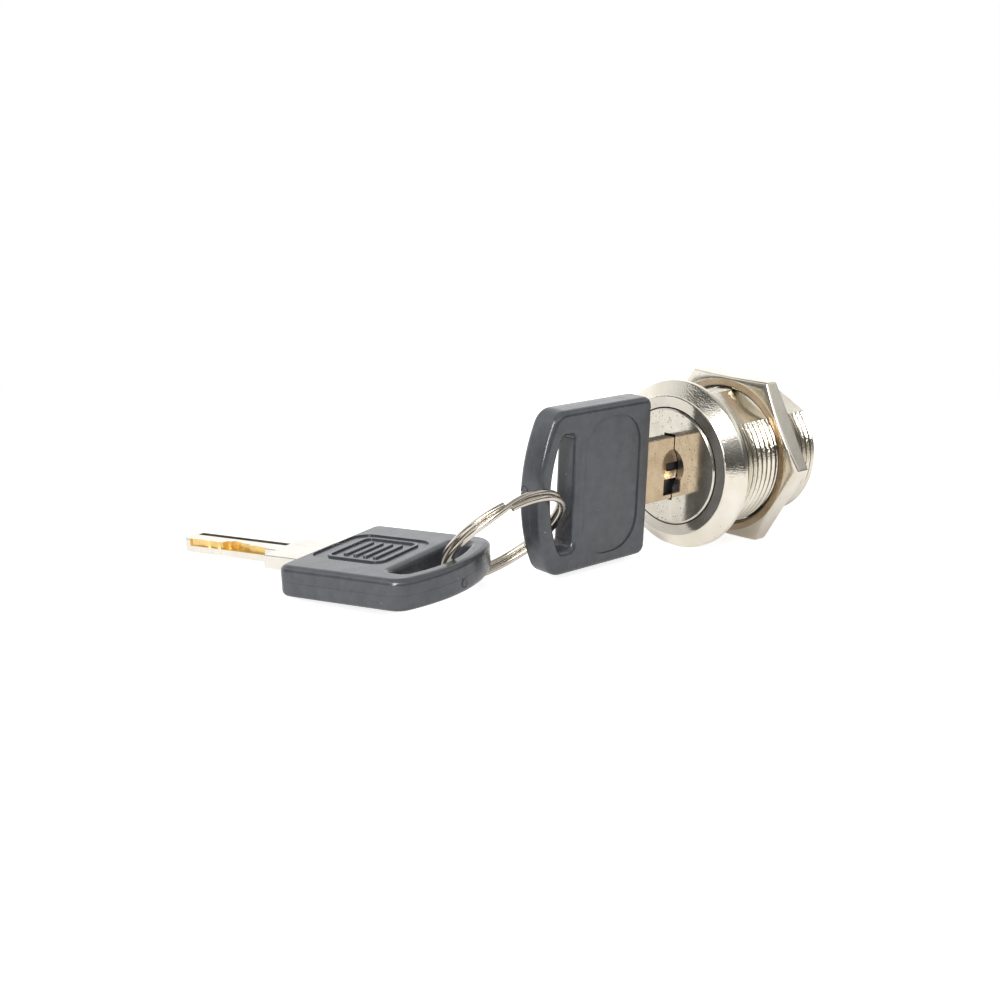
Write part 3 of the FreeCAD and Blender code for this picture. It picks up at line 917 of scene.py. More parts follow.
def repeat(piece: Object, count: int, step: Point, merge: bool = False) -> None:
    """Repeat a piece in a row with an array modifier.

    Args:
        piece: the piece.
        count: how many there are in all.
        step: the offset from one to the next.
        merge: whether touching ends become one.
    """
    apply_modifier(
        piece,
        "ARRAY",
        use_relative_offset=False,
        use_constant_offset=True,
        constant_offset_displace=step,
        count=count,
        use_merge_vertices=merge,
        merge_threshold=0.001,
    )


def smooth(piece: Object, angle: float) -> None:
    """Shade a piece smooth, keeping flat faces flat and sharp edges sharp.

    Args:
        piece: the piece.
        angle: the least angle of a sharp edge, in degrees.
    """
    take_up(piece)
    bpy.ops.object.shade_smooth_by_angle(angle=math.radians(angle))
    apply_modifier(piece, "WEIGHTED_NORMAL", keep_sharp=True, weight=50)


def dress(piece: Object, *materials: Material) -> None:
    """Put materials in a piece's slots, in order.

    Args:
        piece: the piece.
        materials: its materials.
    """
    piece.data.materials.clear()
    for material in materials:
        piece.data.materials.append(material)


def dress_faces(piece: Object, test: FaceTest) -> None:
    """Give the faces that pass a test the second of a piece's materials.

    Args:
        piece: the piece.
        test: takes a face's middle and its normal.
    """
    with editing(piece):
        select_faces(test)
        bpy.context.object.active_material_index = 1
        bpy.ops.object.material_slot_assign()


def hand_over(piece: Object, body: Body, slot: Slot, *nodes: str) -> None:
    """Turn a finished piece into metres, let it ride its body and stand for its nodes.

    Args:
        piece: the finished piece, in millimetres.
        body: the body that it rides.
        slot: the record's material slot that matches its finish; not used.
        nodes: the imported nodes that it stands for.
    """
    take_up(piece)
    piece.scale = (METRES, METRES, METRES)
    bpy.ops.object.transform_apply(location=True, rotation=True, scale=True)
    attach(piece, body.value)
    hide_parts(*nodes)
    log.info("%s: %d faces, stands for %s", piece.name, len(piece.data.polygons), ", ".join(nodes))


class Outline:
    """A flat outline in the XY plane, drawn in straight runs and arcs by extruding and spinning a point."""

    def __init__(self, name: str, start: tuple[float, float]) -> None:
        """Put the first point down.

        Args:
            name: the piece's name.
            start: the first point.
        """
        deselect_everything()
        bpy.ops.mesh.primitive_circle_add(vertices=3, radius=1.0, fill_type="NOTHING")
        self.piece = new_piece(name)
        take_up(self.piece)
        bpy.ops.object.mode_set(mode="EDIT")
        bpy.ops.mesh.select_mode(type="VERT")
        bpy.ops.mesh.select_all(action="DESELECT")
        mesh = bmesh.from_edit_mesh(self.piece.data)
        mesh.verts.ensure_lookup_table()
        first = mesh.verts[0].co.copy()
        for vertex in mesh.verts[1:]:
            vertex.select_set(True)
        bmesh.update_edit_mesh(self.piece.data)
        bpy.ops.mesh.delete(type="VERT")
        bpy.ops.mesh.select_all(action="SELECT")
        bpy.ops.transform.translate(value=(start[0] - first.x, start[1] - first.y, 0.0))
        self.at = start

    def line(self, x: float, y: float) -> Outline:
        """Draw a straight run.

        Args:
            x: where it ends.
            y: where it ends.

        Returns:
            The outline, for the next call.
        """
        move = (x - self.at[0], y - self.at[1], 0.0)
        bpy.ops.mesh.extrude_vertices_move(TRANSFORM_OT_translate={"value": move})
        self.at = (x, y)
        return self

    def arc(self, centre: tuple[float, float], degrees: float, steps: int) -> Outline:
        """Draw an arc.

        Args:
            centre: the arc's centre.
            degrees: how far it turns, positive from X towards Y.
            steps: how many straight pieces it has.

        Returns:
            The outline, for the next call.
        """
        angle = math.radians(degrees)
        bpy.ops.mesh.spin(steps=steps, angle=-angle, center=(centre[0], centre[1], 0.0), axis=(0.0, 0.0, 1.0))
        dx, dy = self.at[0] - centre[0], self.at[1] - centre[1]
        turned_x = dx * math.cos(angle) - dy * math.sin(angle)
        turned_y = dx * math.sin(angle) + dy * math.cos(angle)
        self.at = (centre[0] + turned_x, centre[1] + turned_y)
        return self

    def plate(self, low: float, *heights: float) -> Object:
        """Close the outline, fill it and draw it up to each height in turn.

        Args:
            low: the height of the underside.
            heights: the heights that it is drawn up to.

        Returns:
            The closed plate.
        """
        bpy.ops.mesh.select_all(action="SELECT")
        bpy.ops.mesh.remove_doubles(threshold=0.001)
        bpy.ops.mesh.edge_face_add()
        bpy.ops.transform.translate(value=(0.0, 0.0, low))
        level = low
        for height in heights:
            bpy.ops.mesh.extrude_region_move(TRANSFORM_OT_translate={"value": (0.0, 0.0, height - level)})
            level = height
        face_outwards()
        bpy.ops.object.mode_set(mode="OBJECT")
        return self.piece


# The lock


@dataclass
class LockBody:
    """Flange, threaded barrel with two flats, bore and rear recess.

    Where the barrel is cut flat, a land of plain metal ends the thread. The channel clears the wafers.
    """

    face: float = -2.54
    flange_radius: float = 11.65
    flange_front_radius: float = 9.75
    flange_rim: float = 0.82
    flange_sides: int = 160
    rim_rounding: float = 0.16
    face_bevel: float = 0.10
    collar_length: float = 0.7
    collar_sides: int = 120
    thread_radius: float = 9.5
    thread_root: float = 8.9
    thread_pitch: float = 1.0
    thread_start: float = -1.0
    thread_end: float = 17.95
    tooth_count: int = 21
    steps_a_turn: int = 128
    root_flat: float = 0.19
    crest_flat: float = 0.13
    crest_drop: float = 0.05
    crest_run: float = 0.03
    # how high the painted shade reaches in the thread's roots
    root_shade_height: float = 0.26
    barrel_end: float = 18.45
    end_taper: float = 0.945
    flat_distance: float = 8.85
    flat_angle: float = 64.0
    land_depth: float = 1.5
    land_rise: float = 0.2
    bore_radius: float = 6.7
    head_bore_radius: float = 8.1
    head_bore_end: float = -0.55
    recess_radius: float = 8.0
    recess_start: float = 16.95
    recess_flare: float = 0.25
    channel_half_width: float = 2.85
    channel_half_height: float = 7.6
    channel_start: float = -0.5
    channel_end: float = 13.2
    finish: NickelFinish = BODY_NICKEL
    # painted shade: a darker nickel on the flange's face
    shaded_face_finish: NickelFinish = SHADED_FACE_NICKEL
    # painted shade on the bore's mouth
    recess_shade_finish: SteelFinish = POCKET_SHADE
    # painted shade low in the thread
    root_shade_finish: SteelFinish = THREAD_ROOT_SHADE

    def flange(self, nickel: Material) -> Object:
        """Turn the flange, round its two outer edges and dress its face as turned metal in a darker nickel,
        painted shade.

        Args:
            nickel: the body's own material.

        Returns:
            The flange.
        """
        profile = [
            (self.flange_front_radius, self.face),
            (self.flange_radius, -self.flange_rim),
            (self.flange_radius, 0.0),
        ]
        piece = turned("lock_body_dressed", profile, self.flange_sides)
        reach = self.flange_front_radius - 0.05
        round_edges(piece, lambda a, b: min(off_axis(a), off_axis(b)) > reach, self.rim_rounding, 3)
        # The face takes the darker nickel, painted shade, with its turning marks.
        dress(piece, nickel, self.shaded_face_finish.material())
        dress_faces(piece, lambda at, normal: normal.y < -0.99 and at.y < self.face + HAIR)
        return piece

    def tooth(self) -> Object:
        """Draw one tooth along the axis: root, lower and upper flank, crest and back down.

        Returns:
            The open line of the tooth.
        """
        outline = Outline("thread", (self.thread_root, self.thread_start))
        flank = (self.thread_pitch - self.root_flat - self.crest_flat) / 2
        rise = self.thread_radius - self.thread_root - self.crest_drop
        # The lower flank ends where the painted shade in the root ends.
        low = self.root_shade_height
        low_run = (flank - self.crest_run) * low / rise
        high_run = flank - self.crest_run - low_run
        y = self.thread_start
        for step_x, step_y in (
            (0.0, self.root_flat),
            (low, low_run),
            (rise - low, high_run),
            (self.crest_drop, self.crest_run),
            (0.0, self.crest_flat),
            (-self.crest_drop, self.crest_run),
            (low - rise, high_run),
            (-low, low_run),
        ):
            y += step_y
            outline.line(outline.at[0] + step_x, y)
        bpy.ops.object.mode_set(mode="OBJECT")
        return outline.piece

    def thread(self) -> Object:
        """Wind the tooth into a right-hand thread, cut both its ends square and taper the barrel's end.

        Returns:
            The threaded barrel, closed and solid.
        """
        piece = self.tooth()
        repeat(piece, self.tooth_count, (0.0, self.thread_pitch, 0.0), merge=True)
        apply_modifier(
            piece,
            "SCREW",
            axis="Y",
            angle=2 * math.pi,
            steps=self.steps_a_turn,
            render_steps=self.steps_a_turn,
            screw_offset=self.thread_pitch,
        )
        with editing(piece):
            bpy.ops.mesh.select_all(action="SELECT")
            bpy.ops.mesh.remove_doubles(threshold=0.002)
        trim(piece, (0.0, self.collar_length - 0.15, 0.0), (0.0, -1.0, 0.0))
        trim(piece, (0.0, self.thread_end, 0.0), (0.0, 1.0, 0.0))
        with editing(piece):
            face_outwards()
            select_faces(lambda at, normal: normal.y > 0.99 and at.y > self.thread_end - HAIR)
            length = self.barrel_end - self.thread_end
            bpy.ops.mesh.extrude_region_move(TRANSFORM_OT_translate={"value": (0.0, length, 0.0)})
            taper = (self.end_taper, 1.0, self.end_taper)
            bpy.ops.transform.resize(value=taper, center_override=(0.0, self.barrel_end, 0.0))
        return piece

    def land(self, side: int) -> Object:
        """The unthreaded metal under one flat, where the thread runs out.

        Args:
            side: 1 for the upper flat, -1 for the lower one.

        Returns:
            A bar along the barrel.
        """
        half = math.sqrt(self.thread_radius ** 2 - self.flat_distance ** 2) - 2 * HAIR
        inner, outer = self.flat_distance - self.land_depth, self.flat_distance + self.land_rise
        low, high = sorted((side * inner, side * outer))
        bar = block("land", (low, self.collar_length - 0.4, -half), (high, self.thread_end - 0.03, half))
        with editing(bar):
            bpy.ops.mesh.select_all(action="SELECT")
            turn = math.radians(self.flat_angle)
            bpy.ops.transform.rotate(value=turn, orient_axis="Y", center_override=(0.0, 0.0, 0.0))
        return bar

    def barrel(self, nickel: Material) -> Object:
        """The threaded barrel with painted shade low in the thread, its plain collar, the lands and the two
        flats.

        Args:
            nickel: the body's own material.

        Returns:
            The barrel.
        """
        body = self.thread()
        # The faces low in the thread take painted shade.
        dress(body, nickel, self.root_shade_finish.material())
        root = self.thread_root + self.root_shade_height - 2 * HAIR
        low, high = self.collar_length, self.thread_end - HAIR
        inside = self.head_bore_radius - 0.1
        dress_faces(body, lambda at, normal: low < at.y < high and inside < off_axis(at) < root)
        radius = self.thread_radius - 2 * HAIR
        collar = cylinder("collar", radius, -1.0, self.collar_length, self.collar_sides)
        for tool in (collar, self.land(1), self.land(-1)):
            dress(tool, nickel)
            work(body, tool, Cut.JOIN)
        angle = math.radians(self.flat_angle)
        for side in (1, -1):
            normal = (side * math.cos(angle), 0.0, side * math.sin(angle))
            trim(body, tuple(self.flat_distance * part for part in normal), normal)
        with editing(body):
            face_outwards()
        return body

    def bore(self, nickel: Material) -> Object:
        """The room inside: bevelled mouth, head bore, plug bore and rear recess.

        Args:
            nickel: the body's own material, for all but the mouth, which takes painted shade.

        Returns:
            The tool that cuts it.
        """
        mouth = self.head_bore_radius + self.face_bevel
        flare = self.recess_radius + self.recess_flare
        profile = [
            (mouth + OVER, self.face - OVER),
            (mouth, self.face),
            (self.head_bore_radius, self.face + self.face_bevel),
            (self.head_bore_radius, self.head_bore_end),
            (self.bore_radius, self.head_bore_end),
            (self.bore_radius, self.recess_start),
            (self.recess_radius, self.recess_start),
            (self.recess_radius, self.barrel_end - 0.2),
            (flare, self.barrel_end + 0.05),
            (flare, self.barrel_end + OVER),
        ]
        tool = turned("bore", profile)
        # The mouth's bevel and the head bore take painted shade.
        dress(tool, nickel, self.recess_shade_finish.material())
        dress_faces(tool, lambda at, normal: at.y < self.head_bore_end + 0.1)
        return tool

    def build(self) -> None:
        """Build, dress and hand over the piece."""
        nickel = self.finish.material()
        barrel = self.barrel(nickel)
        body = self.flange(nickel)
        work(body, barrel, Cut.JOIN)
        wide, high = self.channel_half_width, self.channel_half_height
        channel = block("channel", (-wide, self.channel_start, -high), (wide, self.channel_end, high))
        dress(channel, nickel)
        work(body, channel, Cut.TAKE_AWAY)
        work(body, self.bore(nickel), Cut.TAKE_AWAY)
        drop_slivers(body)
        smooth(body, 24.0)
        hand_over(body, Body.LOCK, Slot.NICKEL_BODY, "lock_body")


@dataclass
class Plug:
    """The turning plug: dished face, keyway, wafer slots, spring pockets and square shank."""

    face: float = -2.80
    head_radius: float = 8.0
    head_end: float = -0.60
    edge: float = 0.20
    radius: float = 6.6
    body_end: float = 17.0
    shank_end: float = 20.25
    shank_half: float = 3.2
    shank_rounding: float = 0.25
    dish_radius: float = 2.8
    dish_depth: float = 1.05
    dish_steps: int = 8
    dish_middle: float = 0.15
    dish_rim: float = 0.06
    mouth_half_height: float = 4.6
    mouth_half_width: float = 1.0
    mouth_end: float = -1.65
    way_half_height: float = 1.95
    way_half_width: float = 1.0
    way_end: float = 14.45
    wafer_first: float = 0.9
    wafer_pitch: float = 1.85
    wafer_count: int = 7
    slot_half: float = 0.6
    slot_half_width: float = 2.75
    slot_half_height: float = 8.0
    pocket_width: Span = (-4.6, -2.0)
    pocket_height: Span = (-2.7, 3.5)
    screw_hole_radius: float = 2.01
    screw_hole_start: float = 15.25
    screw_hole_end: float = 22.0
    finish: NickelFinish = PLUG_NICKEL
    dish_finish: SteelFinish = DISH_NICKEL
    # painted shade on the cut faces of the openings
    recess_shade_finish: SteelFinish = POCKET_SHADE

    def blank(self) -> Object:
        """Turn the plug with its dish and rounded edge.

        Returns:
            The plug without its shank.
        """
        sphere = (self.dish_radius ** 2 + self.dish_depth ** 2) / (2 * self.dish_depth)
        profile = []
        for step in range(self.dish_steps + 1):
            radius = max(self.dish_radius * step / self.dish_steps, self.dish_middle)
            sunk = self.dish_depth - (sphere - math.sqrt(sphere ** 2 - radius ** 2))
            profile.append((radius, self.face + max(sunk, 0.0)))
        profile += [
            (self.dish_radius + self.dish_rim, self.face),
            (self.head_radius - self.edge, self.face),
            (self.head_radius - self.edge * 0.92, self.face + self.edge * 0.04),
            (self.head_radius - self.edge * 0.04, self.face + self.edge * 0.92),
            (self.head_radius, self.face + self.edge),
            (self.head_radius, self.head_end),
            (self.radius, self.head_end),
            (self.radius, self.body_end),
        ]
        return turned("plug_dressed", profile)

    def shank(self) -> Object:
        """The square shank that turns the cam.

        Returns:
            A bar with rounded edges.
        """
        half = self.shank_half
        shank = block("shank", (-half, self.body_end - 0.5, -half), (half, self.shank_end, half))
        soften(shank, self.shank_rounding)
        return shank

    def openings(self) -> list[Object]:
        """The tools that cut the key's mouth, the keyway, the wafer slots, the spring pockets and the hole.

        Returns:
            The tools, in the order in which they work.
        """
        front = self.face - OVER
        wide, high = self.mouth_half_width, self.mouth_half_height
        mouth = block("mouth", (-wide, front, -high), (wide, self.mouth_end, high))
        wide, high = self.way_half_width, self.way_half_height
        way = block("way", (-wide, front, -high), (wide, self.way_end, high))
        near, far = self.wafer_first - self.slot_half, self.wafer_first + self.slot_half
        wide, high = self.slot_half_width, self.slot_half_height
        slots = block("wafer_slots", (-wide, near, -high), (wide, far, high))
        (left, right), (low, top) = self.pocket_width, self.pocket_height
        pockets = block("spring_pockets", (left, near, low), (right, far, top))
        for tool in (slots, pockets):
            repeat(tool, self.wafer_count, (0.0, self.wafer_pitch, 0.0))
        hole = cylinder("hole", self.screw_hole_radius, self.screw_hole_start, self.screw_hole_end, 48)
        return [mouth, way, slots, pockets, hole]

    def in_dish(self, at: Vector, normal: Vector) -> bool:
        """Whether a face lies in the dish, below the plug's flat face."""
        return off_axis(at) < self.dish_radius and self.face + 2 * HAIR < at.y < self.mouth_end

    def build(self) -> None:
        """Build, dress and hand over the piece."""
        plug = self.blank()
        work(plug, self.shank(), Cut.JOIN)
        dress(plug, self.finish.material(), self.dish_finish.material())
        dress_faces(plug, self.in_dish)
        # Every cut face of the openings takes painted shade.
        recess_shade = self.recess_shade_finish.material()
        for tool in self.openings():
            dress(tool, recess_shade)
            work(plug, tool, Cut.TAKE_AWAY)
        smooth(plug, 24.0)
        hand_over(plug, Body.PLUG, Slot.NICKEL_PLUG, "plug")


@dataclass
class HexNut:
    """The hexagon nut, chamfered towards the flange, with a browner nickel on its front face, a painted warm
    reflection.
    """

    across_flats: float = 22.6
    start: float = 8.6
    thickness: float = 2.9
    face_radius: float = 10.9
    face_sides: int = 160
    chamfer_angle: float = 20.0
    bore_radius: float = 9.6
    bore_chamfer: float = 0.4
    edge_rounding: float = 0.30
    bore_rounding: float = 0.10
    rounded_angle: float = 28.0
    finish: NickelFinish = NUT_NICKEL
    # painted warm reflection on the front face
    reflection_finish: NickelFinish = NUT_FACE_REFLECTION_NICKEL

    def blank(self) -> Object:
        """The hexagon with its chamfered front corners and rounded edges.

        Returns:
            The nut without its bore.
        """
        corner = self.across_flats / math.sqrt(3)
        end = self.start + self.thickness
        nut = cylinder("hex_nut_dressed", corner, self.start, end, 6)
        with editing(nut):
            bpy.ops.mesh.select_all(action="SELECT")
            middle = (0.0, self.start, 0.0)
            bpy.ops.transform.rotate(value=math.pi / 6, orient_axis="Y", center_override=middle)
        reach = corner + 0.5
        rise = (reach - self.face_radius) * math.tan(math.radians(self.chamfer_angle))
        profile = [(self.face_radius, self.start), (reach, self.start + rise), (reach, end + 0.5)]
        work(nut, turned("envelope", profile, self.face_sides), Cut.KEEP_COMMON)
        outside = self.across_flats / 2 - 0.05
        round_edges(
            nut,
            lambda a, b: min(off_axis(a), off_axis(b)) > outside,
            self.edge_rounding,
            4,
            self.rounded_angle,
        )
        return nut

    def bore(self) -> Object:
        """The tool that cuts the bore and chamfers both its mouths.

        Returns:
            The tool.
        """
        end = self.start + self.thickness
        wide = self.bore_radius + self.bore_chamfer
        profile = [
            (wide + OVER, self.start - OVER),
            (wide, self.start),
            (self.bore_radius, self.start + self.bore_chamfer),
            (self.bore_radius, end - self.bore_chamfer),
            (wide, end),
            (wide + OVER, end + OVER),
        ]
        return turned("hole", profile)

    def build(self) -> None:
        """Build, dress and hand over the piece."""
        nut = self.blank()
        work(nut, self.bore(), Cut.TAKE_AWAY)
        drop_slivers(nut)
        # The front face takes the browner nickel, a painted warm reflection.
        dress(nut, self.finish.material(), self.reflection_finish.material())
        dress_faces(nut, lambda at, normal: normal.y < -0.99 and at.y < self.start + HAIR)
        reach = self.bore_radius + 0.6
        round_edges(
            nut,
            lambda a, b: max(off_axis(a), off_axis(b)) < reach,
            self.bore_rounding,
            2,
            self.rounded_angle,
        )
        smooth(nut, 24.0)
        hand_over(nut, Body.NUT, Slot.NICKEL_NUT, "hex_nut")


# The keys, each modelled on its own axes: X along it to the ring, Y across it and Z out of its ribbed side


@dataclass
class KeyBlade:
    """A key's metal: tang, wide neck and narrow blade with grooves and a brass wavy cut."""

    thickness: float = 1.8
    half_width: float = 1.85
    neck_half_width: float = 4.35
    neck_length: float = 7.1
    length: float = 22.77
    tang_length: float = 8.6
    tip_bevel: float = 0.7
    edge_rounding: float = 0.13
    groove_depth: float = 0.35
    front_groove_from_tip: float = 1.0
    front_groove_sides: Span = (0.42, 1.38)
    back_groove_from_tip: float = 1.4
    back_groove_in_neck: float = 2.5
    back_groove_sides: Span = (-0.35, 0.80)
    notch_depth: float = 0.6
    notch_length: float = 2.8
    notch_sides: Span = (0.62, 2.9)
    cut_start: float = 8.8
    cut_step: float = 0.8
    cut_tread: float = 0.62
    cut_slope: float = 0.05
    cut_path: tuple[float, ...] = (
        *(0.30, 0.42, 0.55, 0.50, 0.95, 1.00, 1.30, 1.42),
        *(1.05, 0.35, 0.22, 0.30, 0.20, 0.34, 0.28, 0.22),
    )
    finish: NickelFinish = BLADE_NICKEL
    # the neck's long edges; on the key in the plug this is painted shade
    edge_finish: NickelFinish | SteelFinish = BLADE_NICKEL
    cut_finish: BrassFinish = CUT_BRASS
    groove_finish: SteelFinish = GROOVE_SHADE

    def blank(self) -> Object:
        """The flat pressing, with its edges rounded and the neck's edges in their own finish.

        Returns:
            The blank.
        """
        half, narrow, neck = self.thickness / 2, self.half_width, self.neck_half_width
        bevel = self.tip_bevel
        outline = Outline("key_blade", (self.tang_length, neck))
        outline.line(-self.neck_length, neck).line(-self.neck_length, narrow)
        outline.line(bevel - self.length, narrow).line(-self.length, narrow - bevel)
        outline.line(-self.length, bevel - narrow).line(bevel - self.length, -narrow)
        outline.line(-self.neck_length, -narrow).line(-self.neck_length, -neck)
        outline.line(self.tang_length, -neck)
        blade = outline.plate(-half, half)
        dress(blade, self.finish.material(), self.edge_finish.material())
        soften(blade, self.edge_rounding, 2, 40.0)
        # The neck's long edges take the edge finish, painted shade on the key in the plug.
        dress_faces(blade, lambda at, normal: abs(normal.y) > 0.99 and abs(at.y) > neck - HAIR)
        return blade

    def grooves(self) -> list[Object]:
        """The tools that mill the groove in each face and the notch in the neck.

        Returns:
            The tools.
        """
        half, neck = self.thickness / 2, self.neck_half_width
        front_low, front_high = self.front_groove_sides
        back_low, back_high = self.back_groove_sides
        notch_low, notch_high = self.notch_sides
        front = block(
            "front_groove",
            (self.front_groove_from_tip - self.length, front_low, half - self.groove_depth),
            (-self.neck_length, front_high, half + OVER),
        )
        back = block(
            "back_groove",
            (self.back_groove_from_tip - self.length, back_low, -half - OVER),
            (self.back_groove_in_neck - self.neck_length, back_high, self.groove_depth - half),
        )
        notch = block(
            "notch",
            (-self.neck_length - OVER, notch_low - neck, -half - OVER),
            (self.notch_length - self.neck_length, notch_high - neck, self.notch_depth - half),
        )
        return [front, back, notch]

    def wavy_cut(self, side: int) -> Object:
        """The tool that mills the wavy path along one edge of one face, down to the middle of the thickness.

        Args:
            side: 1 for the near edge of the front face, -1 for the far edge of the back face.

        Returns:
            The tool.
        """
        edge = -self.half_width
        outline = Outline("wavy_cut", (-self.cut_start, side * (edge - OVER)))
        for index, depth in enumerate(self.cut_path):
            along = -self.cut_start - self.cut_step * index
            outline.line(along, side * (edge + depth))
            outline.line(along - self.cut_step * self.cut_tread, side * (edge + depth + self.cut_slope))
        last = -self.cut_start - self.cut_step * (len(self.cut_path) - 0.3)
        outline.line(last, side * (edge - OVER))
        over = self.thickness / 2 + OVER
        return outline.plate(0.0, over) if side > 0 else outline.plate(-over, 0.0)

    def build(self) -> Object:
        """Build and dress the blade.

        Returns:
            The blade on the key's own axes, in millimetres.
        """
        blade = self.blank()
        shade, brass = self.groove_finish.material(), self.cut_finish.material()
        for groove in self.grooves():
            dress(groove, shade)
            work(blade, groove, Cut.TAKE_AWAY)
        for side in (1, -1):
            cut = self.wavy_cut(side)
            dress(cut, brass)
            work(blade, cut, Cut.TAKE_AWAY)
        drop_slivers(blade)
        smooth(blade, 30.0)
        return blade


@dataclass(frozen=True)
class BowedShape:
    """A flat shape about the key's middle line, with a straight front, straight sides and a bowed rear."""

    front: float
    side_end: float
    reach: float
    half_width: float
    front_corner: float
    rear_corner: float
    bow_steps: int

    def bow_radius(self) -> float:
        """The radius of the bow through the ends of the sides."""
        rise = self.reach - self.side_end
        return (self.half_width ** 2 + rise ** 2) / (2 * rise)

    def draw(self, name: str) -> Outline:
        """Draw the shape.

        Args:
            name: the piece's name.

        Returns:
            The outline, back at its start.
        """
        front, half, small, large = self.front, self.half_width, self.front_corner, self.rear_corner
        radius = self.bow_radius()
        centre = self.reach - radius
        across = half - large
        along = centre + math.sqrt((radius - large) ** 2 - across ** 2)
        lean = math.degrees(math.atan2(across, along - centre))
        outline = Outline(name, (front + small, half)).line(along, half)
        outline.arc((along, across), lean - 90.0, 6)
        outline.arc((centre, 0.0), -2 * lean, self.bow_steps)
        outline.arc((along, -across), lean - 90.0, 6)
        outline.line(front + small, -half).arc((front + small, small - half), -90.0, 5)
        outline.line(front, half - small).arc((front + small, half - small), -90.0, 5)
        return outline


@dataclass(frozen=True)
class Panel:
    """A rectangle with round corners about the key's middle line."""

    front: float
    back: float
    half_width: float
    corner: float

    def inside(self, band: float) -> Panel:
        """The same rectangle with a band taken off all round."""
        return Panel(self.front + band, self.back - band, self.half_width - band, self.corner - band)

    def plate(self, name: str, low: float, high: float) -> Object:
        """Draw the rectangle and fill it between two heights.

        Args:
            name: the piece's name.
            low: the height of its underside.
            high: the height of its top.

        Returns:
            The plate.
        """
        front, back, half, corner = self.front, self.back, self.half_width, self.corner
        outline = Outline(name, (front + corner, half)).line(back - corner, half)
        outline.arc((back - corner, half - corner), -90.0, 8).line(back, corner - half)
        outline.arc((back - corner, corner - half), -90.0, 8).line(front + corner, -half)
        outline.arc((front + corner, corner - half), -90.0, 8).line(front, half - corner)
        outline.arc((front + corner, half - corner), -90.0, 8)
        return outline.plate(low, high)


